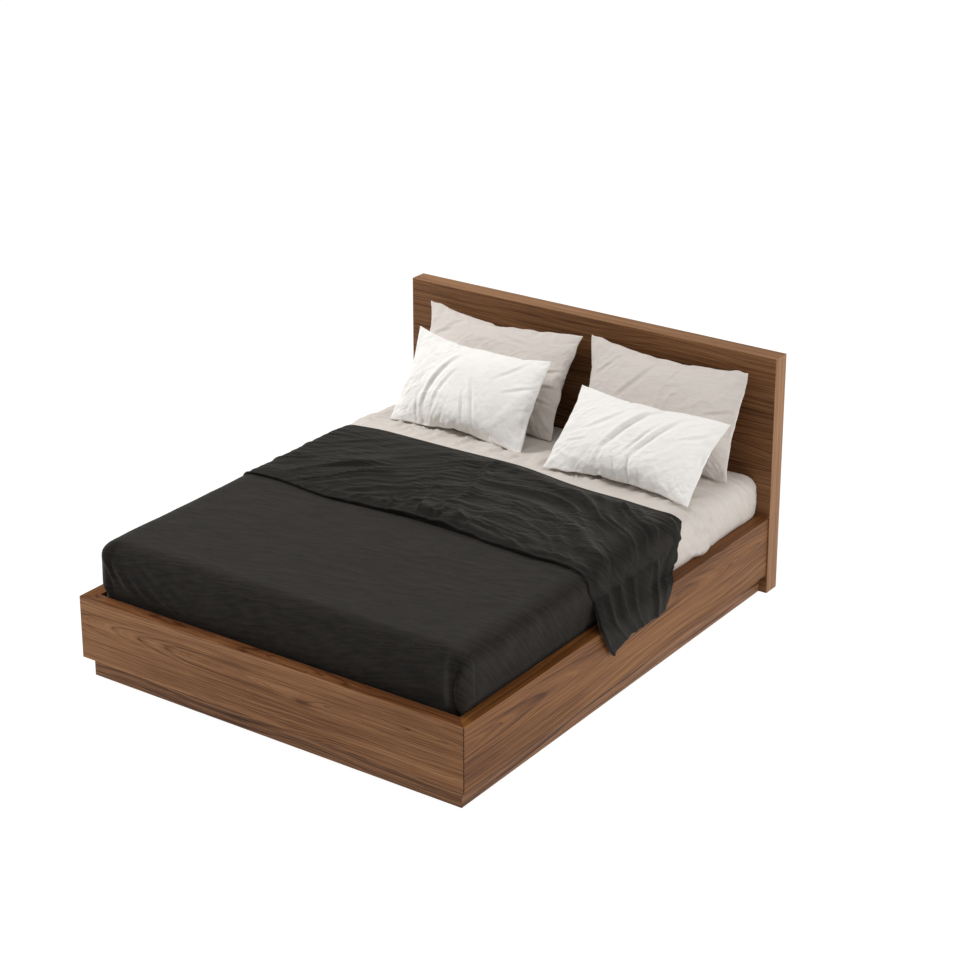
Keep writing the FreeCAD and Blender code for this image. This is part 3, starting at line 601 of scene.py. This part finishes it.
def make_fitted_sheet(material):
    """Pale cotton sheet stretched over the whole mattress with its elastic hem underneath."""
    half, foot, head, low, top = extent(SHEET_LOW, SHEET_HIGH)
    wrap = Wrap(half, foot, head, top - SHEET_CLOTH, SHEET_EDGE, top - low - 2 * SHEET_CLOTH, 0.10, 0.04,
                square=(2.0, 14.0))
    u, v = wrap.grid(0.012, 0.012, (wrap.inner_foot, 0.016), (0.3, 0.045), (wrap.inner_head, 0.010),
                     (wrap.inner_head + wrap.length, 0.012))
    depth, share = wrap.over_edge(u, v)
    head_end = smooth((v - 0.3) / 0.1)
    wall = smooth((depth - 0.02) / 0.08) * smooth((0.272 - depth) / 0.035)
    by_pillows = np.exp(-((v - 0.54) / 0.10) ** 2)
    lift = 0.0012 * cloudy(u * 7, v * 7, 11) + 0.0022 * head_end * ridges(u, v, 62, 0.28, 0.05, 12)
    lift += 0.0180 * by_pillows * ridges(u, v, 60, 0.11, 0.026, 14)
    lift += head_end * wall * (SHEET_BULGE * (0.4 + 0.6 * share) + 0.0035 * ridges(u, v, 0, 0.12, 0.04, 15))
    points = sag(wrap.place(u, v, lift), low, top)
    sheet = new_cloth("fitted_sheet_cloth", points, SHEET_CLOTH)
    settle(sheet, "mattress", "sheet_cotton", material, "fitted_sheet")


def make_bedspread(material):
    """Charcoal cover pulled smooth over the foot half and tucked in behind the rails, with one pleat."""
    half, foot, head, low, top = extent(SPREAD_LOW, SPREAD_HIGH)
    # It stops short of the mattress's head end, so the wrap's own head end lies far beyond it.
    wrap = Wrap(half - 0.001, foot + 0.001, 9.0, top - 0.001, SPREAD_EDGE, top - low, square=(3.2, 3.2))
    u, v = wrap.grid(0.0095, 0.0105, (wrap.inner_foot, 0.0095), (head, 0.0105))
    depth, share = wrap.over_edge(u, v)
    lift = 0.0016 * cloudy(u * 4.5, v * 4.5, 21, 2) + 0.0010 * ridges(u, v, 8, 0.35, 0.06, 22)
    # The walls swell above the rails and are held in behind them.
    free = smooth((0.246 - depth) / 0.04)
    wall = smooth((depth - 0.01) / 0.07) * free
    bulge = SPREAD_BULGE * (0.15 + 0.85 * smooth(share / 0.35))
    lift += wall * (bulge + 0.0022 * noise(u * 13, v * 13, 23))
    # Folds drawn down from the left foot corner, over the foot face.
    for start, down, angle, size, tall in LEFT_FOLDS:
        fold = crease(u, v, (start, wrap.inner_foot - down), angle, size, 0.018)
        lift += tall * fold * smooth(depth / 0.04) * free
    # The pleat at the right foot corner: the side's cloth laps over the end's.
    right = (u > 0) & (v < wrap.inner_foot) & (u > wrap.inner_x)
    edge = PLEAT_AT + PLEAT_SWEEP * ((depth - 0.165) / 0.1) ** 2
    past = share - edge
    fade = smooth((depth - 0.055) / 0.03)
    lap = right * fade * smooth(past / 0.05)
    lift += PLEAT_STEP * lap * np.exp(-np.maximum(past, 0) / 0.35)
    lift -= 0.004 * right * fade * np.exp(-((past + 0.03) / 0.05) ** 2)
    slide = -0.07 * lap * np.exp(-np.maximum(past, 0) / 0.12)
    spread = new_cloth("bedspread_cloth", wrap.place(u, v, lift, slide), SPREAD_CLOTH)
    settle(spread, "mattress", "charcoal_linen", material, "bedspread")


def make_mattress(material):
    """Mattress core: a block with quilted faces and rounded edges."""
    half, foot, head, low, top = extent(MATTRESS_LOW, MATTRESS_HIGH)
    wrap = Wrap(half - 0.002, foot + 0.002, head - 0.002, top - 0.004, CORE_EDGE, top - low - 0.006,
                0.3, 0.04)
    u, v = wrap.grid(0.03, 0.03, (wrap.inner_foot, 0.03), (wrap.inner_head, 0.03),
                     (wrap.inner_head + wrap.length, 0.03))
    quilt = np.abs(np.sin((u + v) * math.pi / 0.18) * np.sin((u - v) * math.pi / 0.18))
    points = sag(wrap.place(u, v, 0.0015 * quilt ** 0.5 - 0.002), low, top)
    faces = [tuple(int(i) for i in face) for face in grid_faces(*u.shape)]
    # The underside's middle is closed by one panel that meets the turned-in border.
    index = np.arange(u.size).reshape(u.shape)
    border = np.concatenate([index[0, :], index[1:, -1], index[-1, -2::-1], index[-2:0:-1, 0]])
    faces.append(tuple(int(i) for i in border))
    core = new_object("mattress_core", points.reshape(-1, 3), faces)
    settle(core, "mattress", "mattress_ticking", material, "mattress")


# ---- Throw -------------------------------------------------------

THROW_SPACING = 0.0065
THROW_WIDTH = 0.65
# How far the folded throw's upper layer lies above the bed, and the roll along its foot edge.
TOP_LAYER, ROLL_MIDDLE, ROLL = 0.005, 0.0085, 0.0055
# Where the throw leaves the mattress's side, and its hem at the foot and the head edge.
THROW_LEAVES, HEM_FOOT, HEM_HEAD = 0.425, 0.214, 0.244
# Throw edges on top of the bed and down its side: (share of the way out, place along the bed).
# 0 is the bed's middle, 1 the start of the mattress edge, 2 its end, 3 where the cloth leaves the
# mattress, 4 the rail's outer edge and 5 the hem.
FOOT_EDGE = [(-5, -0.15), (-4, -0.18), (-3, -0.17), (-2, -0.19), (-1.03, -0.222), (-0.91, -0.20),
             (-0.5, -0.236), (0, -0.202), (0.3, -0.204), (0.74, -0.24), (0.93, -0.229), (1.0, -0.245),
             (2, -0.24), (3, -0.203), (4, -0.245), (5, -0.170)]
HEAD_EDGE = [(-5, 0.19), (-4, 0.25), (-3, 0.395), (-2, 0.385), (-1, 0.398), (-0.87, 0.43), (-0.4, 0.43),
             (0.08, 0.442), (0.5, 0.388), (0.78, 0.388), (1.0, 0.372), (2, 0.435), (3, 0.442), (4, 0.25),
             (5, 0.19)]


def edge_line(stops, station):
    """A smooth line through a throw edge's stops."""
    at = np.array([s[0] for s in stops])
    value = np.array([s[1] for s in stops])
    fine = np.linspace(at[0], at[-1], 801)
    line = np.interp(fine, at, value)
    kernel = np.hanning(33)
    kernel /= kernel.sum()
    padded = np.concatenate([np.full(16, line[0]), line, np.full(16, line[-1])])
    return np.interp(station, fine, np.convolve(padded, kernel, mode="valid"))


def throw_base(station, q):
    """The surface that the throw lies on: station is how far out (see FOOT_EDGE), q is 0 at its foot edge."""
    top = float(SPREAD_HIGH[2]) + 0.0005
    side = float(SPREAD_HIGH[0]) + 0.0015
    out = np.abs(station)
    arc = np.clip(out - 1, 0, 1) * HALF_PI
    x = (side - SPREAD_EDGE) * np.clip(out, 0, 1) + SPREAD_EDGE * np.sin(arc)
    z = top - SPREAD_EDGE * (1 - np.cos(arc))
    z = z - np.clip(out - 2, 0, 1) * (top - SPREAD_EDGE - THROW_LEAVES)
    # From the mattress to the rail's outer edge: a slanting bridge, or down and out near the head edge.
    rim_x, rim_z = float(RAIL_HIGH[0]) + 0.001, float(RAIL_HIGH[2]) + 0.004
    t = np.clip(out - 3, 0, 1)
    bridge_x = side + (rim_x - side) * t
    bridge_z = THROW_LEAVES + (rim_z + 0.004 - THROW_LEAVES) * t
    tucked_x = side + (rim_x - side) * smooth((t - 0.4) / 0.6)
    tucked_z = THROW_LEAVES + (rim_z - THROW_LEAVES) * smooth(t / 0.55)
    lean = smooth((q - 0.55) / 0.4)
    x = np.where(out > 3, bridge_x * (1 - lean) + tucked_x * lean, x)
    z = np.where(out > 3, bridge_z * (1 - lean) + tucked_z * lean, z)
    hem = HEM_FOOT + (HEM_HEAD - HEM_FOOT) * smooth(q / 0.35)
    h = np.clip(out - 4, 0, 1)
    x = x + 0.004 * smooth(h * 3)
    z = z - h * (rim_z - hem)
    y = edge_line(FOOT_EDGE, station) * (1 - q) + edge_line(HEAD_EDGE, station) * q
    return np.stack([np.sign(station) * x, y, z], axis=-1)


def throw_rows():
    """The folded throw's rows from its under hem round the head fold to its upper hem.

    Each row has its q, its height over the bed and how far it lies beyond that q.
    """
    rows = [(q, 0.001, 0.0) for q in np.linspace(0.03, 0.992, 14)]
    for angle in np.radians(np.linspace(-60, 60, 5)):
        rows.append((1.0, 0.003 + 0.0025 * math.sin(angle), 0.0025 * math.cos(angle)))
    for q in np.linspace(0.995, 0.004, round(THROW_WIDTH / THROW_SPACING)):
        rows.append((q, TOP_LAYER, 0.0))
    for angle in np.radians([60, 25, -10, -45, -80]):
        rows.append((0.0, ROLL_MIDDLE + ROLL * math.sin(angle), -ROLL * math.cos(angle)))
    rows += [(0.012, 0.003, 0.0), (0.035, 0.003, 0.0)]
    return np.array(rows).T


def make_throw(material):
    """Throw folded in two along its length: a clean fold at the head, loose bunched hems at the foot."""
    # Stations and the cloth's length from each to the next.
    right = [0.0]
    for length in (0.75, 0.08, 0.07, 0.112, 0.12):
        steps = max(2, round(length / THROW_SPACING))
        right += list(right[-1] + np.arange(1, steps + 1) / steps)
    right = np.array(right)
    station = np.concatenate([-right[:0:-1], right])
    q, lift, beyond = throw_rows()
    s, qq = np.meshgrid(station, q, indexing="ij")
    # Normals and the way towards the head come from a regular grid over the same stations.
    regular = np.linspace(0, 1, 60)
    body = throw_base(*np.meshgrid(station, regular, indexing="ij"))
    for _ in range(3):
        body[1:-1] = (body[:-2] + 2 * body[1:-1] + body[2:]) / 4
    heading = np.gradient(body, axis=1)
    heading /= np.linalg.norm(heading, axis=2, keepdims=True)

    def at_q(values):
        out = np.empty((*s.shape, 3))
        for i in range(len(station)):
            for k in range(3):
                out[i, :, k] = np.interp(q, regular, values[i, :, k])
        return out

    normal, towards_head, centre = at_q(grid_normals(body)), at_q(heading), at_q(body)
    flat_x = np.sign(s) * np.interp(np.abs(s), range(6), [0, 0.75, 0.83, 0.90, 1.01, 1.13])
    wrinkle = throw_wrinkles(flat_x, centre[..., 1], s, qq)
    # The foot edge stands up as a bunched roll and the head edge stays flat.
    bunch = 0.35 + 1.3 * np.exp(-((flat_x - 0.12) / 0.24) ** 2) + 0.6 * smooth((flat_x - 0.3) / 0.3)
    bunch *= 1 + 0.45 * noise(flat_x * 13, flat_x * 0, 31) + 0.3 * noise(flat_x * 30, flat_x * 0, 35)
    bunched = 0.0075 * np.exp(-(qq / 0.05) ** 2) * bunch
    height = lift + (lift == TOP_LAYER) * (wrinkle + bunched)
    rolled = (beyond < 0) & (lift > 0.0035)
    height = np.where(rolled, lift + bunched * 0.9, height)
    out = beyond * (1 + 0.6 * noise(flat_x * 14, flat_x * 0 + 3, 33))
    points = centre + normal * height[..., None] + towards_head * out[..., None]
    throw = new_cloth("throw_cloth", points, THROW_CLOTH, 0.0)
    settle(throw, "throw", "charcoal_throw", material, "throw")


# Which way the throw's creases run: (place across the bed over the cloth, slope along the bed).
CREASE_SLOPES = [(-1.2, 0.15), (-0.85, 0.3), (-0.7, 0.9), (-0.2, 0.95), (0.15, 0.25), (0.45, -0.45),
                 (0.72, -0.85), (0.86, -0.45), (1.2, -0.20)]


def near(value, place, width):
    """1 at a place, fading away from it on both sides."""
    return np.exp(-(((value - place) / width) ** 2))


def folds(along, across, seed, power=2.0):
    """Long crests of cloth, one unit apart and one unit long: 0 in the hollows, 1 on the crests."""
    return (1 - np.abs(noise(across, along, seed))) ** power


def throw_wrinkles(x, y, station, q):
    """Height of the throw's wrinkles over flat places on it."""
    out = np.abs(station)
    fine_x = np.linspace(CREASE_SLOPES[0][0], CREASE_SLOPES[-1][0], 601)
    slope = np.interp(fine_x, [c[0] for c in CREASE_SLOPES], [c[1] for c in CREASE_SLOPES])
    slope = np.convolve(np.pad(slope, 20, mode="edge"), np.ones(41) / 41, mode="valid")
    sweep = np.interp(x, fine_x, np.cumsum(slope) * (fine_x[1] - fine_x[0]))
    flow = y - sweep + 0.020 * cloudy(x * 5, y * 5, 40)
    body = smooth(q / 0.07) * smooth((1 - q) / 0.12)
    drape = smooth((out - 1.0) / 1.2)
    quiet = 0.25 + 0.75 * smooth(0.5 + 0.9 * cloudy(x * 2.1 + 7, y * 2.1, 47, 2))
    long_folds = folds(x / 0.34, flow / 0.072, 41) * 0.014 + folds(x / 0.24, flow / 0.044 + 9, 43) * 0.011
    long_folds = long_folds + folds(x / 0.16, (flow + 0.2 * x) / 0.028 + 4, 44) * 0.0065
    steep = folds(y / 0.26, (x + 0.45 * y) / 0.085, 45) * 0.015
    steep = steep + folds(y / 0.16, (x - 0.2 * y) / 0.05, 48) * 0.006
    centre = near(x, 0.05, 0.22)
    flat = quiet * (long_folds * (1 - 0.55 * centre) + steep * centre)
    # Short ruffles just behind the middle of the foot edge, and long rolls beside it further right.
    uneven = 0.5 * cloudy(x * 6, q * 4, 52, 2)
    ruffles = folds(q / 0.5, (x + 0.12 * q) / 0.034 + uneven, 51, 1.5) * 0.024
    flat = flat + near(q, 0.07, 0.12) * near(x, 0.07, 0.2) * ruffles
    uneven = 0.02 * cloudy(x * 3, q * 2, 55)
    rolls = folds(x / 0.35, (q * 0.65 + uneven) / 0.042, 57) * 0.009
    flat = flat + near(x, 0.5, 0.28) * near(q, 0.0, 0.30) * rolls
    slant = q * 0.62 - 0.45 * (np.abs(x) - 0.83)
    hang = folds(x / 0.35, slant / 0.085 + 0.25 * cloudy(x * 3, q * 2, 49, 2), 61, 1.6) * 0.012
    hang = (hang + folds(x / 0.2, slant / 0.045, 63, 1.7) * 0.005) * (1 - 0.45 * smooth((out - 3.5) / 1.5))
    return body * (flat * (1 - drape) + hang * drape)


# ---- Pillows -----------------------------------------------------


# One pillow: its size, how thick it stands and how far it leans back (degrees).
Pillow = namedtuple("Pillow", "name width height thickness lean seed slot")
PILLOWS = [
    Pillow("grey_left", 0.748, 0.438, 0.150, 31.0, 1, "grey_pillow_cotton"),
    Pillow("grey_right", 0.742, 0.434, 0.150, 28.0, 2, "grey_pillow_cotton"),
    Pillow("white_left", 0.642, 0.386, 0.130, 34.0, 3, "white_pillow_cotton"),
    Pillow("white_right", 0.655, 0.378, 0.130, 48.5, 4, "white_pillow_cotton"),
]
# Creases on the pillows' fronts: place across and up the pillow from its middle, direction (degrees),
# length, width, depth and how far the crease bends.
PILLOW_CREASES = {
    "white_left": [
        (-0.15, 0, 71, 0.36, 0.011, 0.0088, -1.6), (-0.105, -0.03, 74, 0.26, 0.009, 0.0048, -1.4),
        (0.062, -0.05, 112, 0.26, 0.009, 0.0075, 0.4), (0.025, -0.08, 108, 0.2, 0.007, 0.0054, 0.3),
        (0.1, -0.09, 112, 0.18, 0.007, 0.0041, 0), (-0.2, -0.12, 100, 0.14, 0.007, 0.0048, 0),
        (0.23, 0.04, 24, 0.16, 0.008, 0.0034, 0), (0.18, 0.11, 40, 0.2, 0.009, 0.0034, 0.5),
    ],
    "white_right": [
        (-0.025, 0.055, 55, 0.42, 0.013, 0.0122, -1), (0.094, 0.025, 59, 0.36, 0.011, 0.0095, -0.5),
        (0.04, 0, 60, 0.24, 0.008, 0.0048, -0.5), (-0.13, 0.05, 40, 0.26, 0.01, 0.0048, 1),
        (-0.02, -0.125, 120, 0.16, 0.007, 0.0068, 0), (0.04, -0.12, 105, 0.18, 0.007, 0.0075, 0.5),
        (0.09, -0.13, 100, 0.15, 0.007, 0.0048, 0), (0.23, 0.06, 30, 0.16, 0.008, 0.0034, 0.5),
        (-0.23, -0.06, 15, 0.12, 0.007, 0.0034, 0),
    ],
    "grey_left": [
        (-0.27, 0.11, 22, 0.16, 0.009, 0.0041, 0), (-0.22, 0.15, 30, 0.14, 0.008, 0.0034, 0),
        (0.06, 0.14, -10, 0.3, 0.011, 0.0034, 0.5), (0.29, 0.04, 18, 0.13, 0.007, 0.0054, 0),
        (0.3, -0.02, 8, 0.13, 0.007, 0.0061, 0), (0.29, -0.08, -5, 0.13, 0.007, 0.0048, 0),
    ],
    "grey_right": [
        (-0.08, 0.09, 48, 0.34, 0.012, 0.0041, 0.4), (-0.25, 0.12, 40, 0.2, 0.009, 0.0034, 1),
        (0.08, 0.15, 60, 0.14, 0.008, 0.0034, 0), (0.29, 0.03, 20, 0.14, 0.008, 0.0048, 0),
        (0.3, -0.05, 8, 0.14, 0.007, 0.0048, 0),
    ],
}
# How far each pillow's corners are drawn out, across and up: top left, top right, bottom right, bottom left.
PILLOW_CORNERS = {
    "white_left": [(-0.014, 0.022), (0.008, 0.003), (0.006, -0.006), (-0.006, 0.004)],
    "white_right": [(-0.012, 0.008), (0.022, -0.008), (0.006, -0.012), (-0.008, -0.002)],
    "grey_left": [(-0.003, 0.013), (0.008, 0.011), (0.013, -0.004), (0.030, -0.004)],
    "grey_right": [(0.006, 0.018), (-0.012, 0.004), (0.022, -0.004), (0.060, -0.004)],
}
# How far each grey pillow's left side is drawn in at its middle.
PILLOW_WAISTS = {"grey_left": 0.046, "grey_right": 0.052}
# How much thinner a pillow is towards its edges than evenly puffed cloth.
PILLOW_DOME = 0.35
# How much of a pillow's filling has sunk from its top half to its bottom half.
PILLOW_SAG = 0.30
PILLOW_STEP = 0.009
PILLOW_FRAMES = 24
# How far a panel's inner points start off its seam's plane, and their random scatter.
PANEL_GAP, PANEL_SCATTER = 0.004, 0.0012
PILLOW_CLOTH = {
    "quality": 6, "mass": 0.25, "tension_stiffness": 25, "compression_stiffness": 25, "shear_stiffness": 6,
    "bending_stiffness": 0.12, "air_damping": 2.0, "use_pressure": True, "uniform_pressure_force": 1.6,
}


def pillow_panels(pillow):
    """Two flat panels joined round their edge: points, faces and which points are on the seam."""
    columns = round(pillow.width / PILLOW_STEP)
    rows = round(pillow.height / PILLOW_STEP)
    x = np.linspace(-0.5, 0.5, columns + 1)
    y = np.linspace(-0.5, 0.5, rows + 1)
    rng = np.random.default_rng(pillow.seed)
    index = {}
    points, faces = [], []
    for side in (1, -1):
        for i in range(columns + 1):
            for j in range(rows + 1):
                rim = i in (0, columns) or j in (0, rows)
                if rim and side < 0:
                    index[side, i, j] = index[1, i, j]
                    continue
                index[side, i, j] = len(points)
                loose = 0.0 if rim else 1.0
                dx, dy, dz = rng.uniform(-1, 1, 3) * loose * PANEL_SCATTER
                points.append((x[i] * pillow.width + dx, y[j] * pillow.height + dy,
                               side * loose * PANEL_GAP + dz))
    for side in (1, -1):
        for i in range(columns):
            for j in range(rows):
                corners = ((i, j), (i + 1, j), (i + 1, j + 1), (i, j + 1))
                faces.append(tuple(index[side, a, b] for a, b in corners[::side]))
    return np.array(points), faces


def inflate(pillows):
    """Fills every pillow with cloth simulation, all in one run, and returns the filled cases."""
    cases = []
    for pillow in pillows:
        points, faces = pillow_panels(pillow)
        case = new_object("pillowcase_" + pillow.name + "_cloth", points, faces)
        fill = case.modifiers.new("fill", "CLOTH")
        for key, value in PILLOW_CLOTH.items():
            setattr(fill.settings, key, value)
        fill.settings.effector_weights.gravity = 0.0
        fill.point_cache.frame_start = 1
        fill.point_cache.frame_end = PILLOW_FRAMES
        cases.append(case)
    filled = {}
    for step in range(1, PILLOW_FRAMES + 1):
        bpy.context.scene.frame_set(step)
        shapes = bpy.context.evaluated_depsgraph_get()
        for pillow, case in zip(pillows, cases):
            if case in filled:
                continue
            points = mesh_points(case.evaluated_get(shapes))
            if np.ptp(points[:, 2]) > pillow.thickness or step == PILLOW_FRAMES:
                filled[case] = points
    for case, points in filled.items():
        case.modifiers.clear()
        case.data.vertices.foreach_set("co", points.ravel())
    bpy.context.scene.frame_set(1)
    return cases


def subdivide(piece):
    """Splits every face of a piece in four, smoothly, for good."""
    piece.modifiers.new("soft", "SUBSURF").levels = 1
    shapes = bpy.context.evaluated_depsgraph_get()
    finer = bpy.data.meshes.new_from_object(piece.evaluated_get(shapes))
    piece.modifiers.clear()
    piece.data = finer


def mesh_points(piece):
    points = np.empty(len(piece.data.vertices) * 3)
    piece.data.vertices.foreach_get("co", points)
    return points.reshape(-1, 3)


def rumple(pillow, points):
    """Creases and seam puckers for a filled pillow that lies flat with its middle at zero."""
    x, y, z = points.T
    half_x, half_y = pillow.width / 2, pillow.height / 2
    front = smooth(z / 0.012)
    change = 0.0030 * (ridges(x, y, 35, 0.22, 0.06, 70 + pillow.seed) - 0.4)
    # Gathers that fan up from the bottom seam.
    fan = ridges(x * (1 + 0.8 * (y / half_y + 1)), y, 90, 0.16, 0.030, 60 + pillow.seed)
    change = change - 0.0050 * fan * np.clip(-y / half_y, 0, 1) ** 1.2
    for at_x, at_y, angle, length, width, depth, bend in PILLOW_CREASES[pillow.name]:
        change = change - depth * crease(x, y, (at_x, at_y), angle, length, width, bend)
    moved = points.copy()
    for axis, along, inward in ((1, x, half_y - np.abs(y)), (0, y, half_x - np.abs(x))):
        side = np.where(points[:, axis] > 0, 1.0, 7.0)
        pucker = noise(along / 0.030 + side * 3, side, 80 + pillow.seed)
        change = change + 0.0042 * pucker * near(inward, 0.022, 0.022)
        wave = noise(along / 0.045 + side * 5, side, 90 + pillow.seed)
        moved[:, axis] -= np.sign(points[:, axis]) * 0.004 * (0.5 + wave) * near(inward, 0.0, 0.03)
    reach = np.clip(np.abs(x / half_x), 0, 1) ** 3 * np.clip(np.abs(y / half_y), 0, 1) ** 3
    for (across, up), turn_x, turn_y in zip(PILLOW_CORNERS[pillow.name], (-1, 1, 1, -1), (1, 1, -1, -1)):
        share = reach * (x * turn_x > 0) * (y * turn_y > 0)
        moved[:, 0] += across * share
        moved[:, 1] += up * share
    waist = np.clip(-x / half_x, 0, 1) ** 1.5 * (1 - np.clip(np.abs(y / half_y), 0, 1) ** 1.6)
    moved[:, 0] += PILLOW_WAISTS.get(pillow.name, 0.0) * waist
    moved[:, 2] += change * front - 0.4 * change * smooth(-z / 0.012)
    return moved


def place_pillow(pillow, case):
    """Sizes the filled pillow to its CAD box and leans it in its place."""
    subdivide(case)
    points = mesh_points(case)
    for axis in (0, 1):
        points[:, 2] *= 1 - PILLOW_DOME * (points[:, axis] / np.abs(points[:, axis]).max()) ** 2
    points[:, 2] *= 1 - PILLOW_SAG * points[:, 1] / np.abs(points[:, 1]).max()
    middle = (points.max(0) + points.min(0)) / 2
    size = points.max(0) - points.min(0)
    points = (points - middle) * np.array([pillow.width, pillow.height, pillow.thickness]) / size
    c, s = math.cos(math.radians(pillow.lean)), math.sin(math.radians(pillow.lean))
    # Local x across, y up the pillow, z out of its front.
    turn = np.array([[1, 0, 0], [0, s, c], [0, -c, s]])
    low, high = (np.array(corner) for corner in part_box("pillowcase_" + pillow.name))
    plain = points @ turn
    shift = np.array([(low[0] + high[0]) / 2, high[1] - plain[:, 1].max(), high[2] - plain[:, 2].max()])
    points = rumple(pillow, points) @ turn + shift
    rest = float(SHEET_HIGH[2]) + 0.0012
    points[:, 2] = np.where(points[:, 2] < rest, rest + (points[:, 2] - rest) * 0.02, points[:, 2])
    case.data.vertices.foreach_set("co", points.ravel())
    case.data.update()
    case.data.polygons.foreach_set("use_smooth", [True] * len(case.data.polygons))


def make_insert(pillow, case, material):
    """The pillow itself, a little smaller, inside its case."""
    points = mesh_points(case)
    normals = np.empty(len(points) * 3)
    case.data.vertex_normals.foreach_get("vector", normals)
    points = points - normals.reshape(-1, 3) * 0.003
    insert = bpy.data.objects.new("pillow_" + pillow.name, case.data.copy())
    bpy.context.scene.collection.objects.link(insert)
    insert.data.materials.clear()
    insert.data.vertices.foreach_set("co", points.ravel())
    settle(insert, "pillow_" + pillow.name, "pillow_filling", material, "pillow_insert_" + pillow.name)


def make_pillows(cottons, ticking):
    cases = inflate(PILLOWS)
    for pillow, case in zip(PILLOWS, cases):
        place_pillow(pillow, case)
        make_insert(pillow, case, ticking)
        body, node = "pillow_" + pillow.name, "pillowcase_" + pillow.name
        settle(case, body, pillow.slot, cottons[pillow.slot], node)


# ---- Studio ------------------------------------------------------


def make_studio():
    """Camera, soft light and a pale floor."""
    scene = bpy.context.scene
    scene.view_settings.view_transform = "Standard"
    camera = bpy.data.objects.new("camera", bpy.data.cameras.new("camera"))
    camera.location = CAMERA_PLACE
    camera.rotation_euler = (math.radians(90 - CAMERA_ELEVATION), 0.0, math.radians(CAMERA_AZIMUTH))
    camera.data.lens = CAMERA_LENS
    camera.data.sensor_width = CAMERA_SENSOR
    camera.data.shift_y = CAMERA_SHIFT
    camera.data.clip_end = 200.0
    scene.collection.objects.link(camera)
    scene.camera = camera

    world = bpy.data.worlds.new("studio")
    world.use_nodes = True
    sky = world.node_tree
    way = sky.nodes.new("ShaderNodeTexCoord")
    parts = sky.nodes.new("ShaderNodeSeparateXYZ")
    height = sky.nodes.new("ShaderNodeMapRange")
    height.inputs["To Min"].default_value = SKY_LOW
    height.inputs["To Max"].default_value = SKY_HIGH
    sky.links.new(way.outputs["Generated"], parts.inputs[0])
    sky.links.new(parts.outputs["Z"], height.inputs["Value"])
    sky.links.new(height.outputs[0], sky.nodes["Background"].inputs["Strength"])
    sky.nodes["Background"].inputs["Color"].default_value = (1.0, 1.0, 1.0, 1.0)
    scene.world = world

    for name, place, size, power in LAMPS:
        light = bpy.data.lights.new(name, "AREA")
        light.shape = "DISK"
        light.size = size
        light.energy = power
        lamp = bpy.data.objects.new(name, light)
        lamp.location = place
        lamp.rotation_euler = (-lamp.location).to_track_quat("-Z", "Y").to_euler()
        scene.collection.objects.link(lamp)

    corners = [(-1, -1), (1, -1), (1, 1), (-1, 1)]
    points = [(x * FLOOR_HALF, y * FLOOR_HALF, FLOOR_LEVEL) for x, y in corners]
    floor = new_object("floor", points, [(0, 1, 2, 3)])
    s = Shader("pale floor", Roughness=1.0, Emission_Strength=1.0)
    s.surface.inputs["Emission Color"].default_value = (FLOOR_GLOW, FLOOR_GLOW, FLOOR_GLOW, 1.0)
    s.surface.inputs["Specular IOR Level"].default_value = 0.0
    grain = s.noise(s.place, 300.0, 2.0)
    floor.data.materials.append(s.finish(s.ramp(grain, (0.3, (0.11, 0.11, 0.11)), (0.7, (0.12, 0.12, 0.12)))))


# ---- Everything together -----------------------------------------

make_studio()
dress_frame()
charcoal = cloth("charcoal linen", srgb(34, 31, 28), thread=0.0012, slub=0.5, mottle=0.30, sheen=0.12)
throw_cotton = cloth("charcoal throw", srgb(31, 29, 26), thread=0.0010, slub=0.3, mottle=0.2, sheen=0.10,
                     crumple=0.010)
sheet_cotton = cloth("warm grey cotton", srgb(206, 198, 190), slub=0.05, mottle=0.03, crumple=0.007)
white_cotton = cloth("white cotton", srgb(239, 236, 232), slub=0.03, mottle=0.02, crumple=0.006,
                     crumple_turn=40)
grey_cotton = cloth("grey cotton", srgb(208, 200, 193), slub=0.05, mottle=0.03, crumple=0.004,
                    crumple_turn=40)
ticking = cloth("ticking", srgb(226, 222, 214), slub=0.06, mottle=0.04)
make_mattress(ticking)
make_fitted_sheet(sheet_cotton)
make_bedspread(charcoal)
make_throw(throw_cotton)
make_pillows({"grey_pillow_cotton": grey_cotton, "white_pillow_cotton": white_cotton}, ticking)
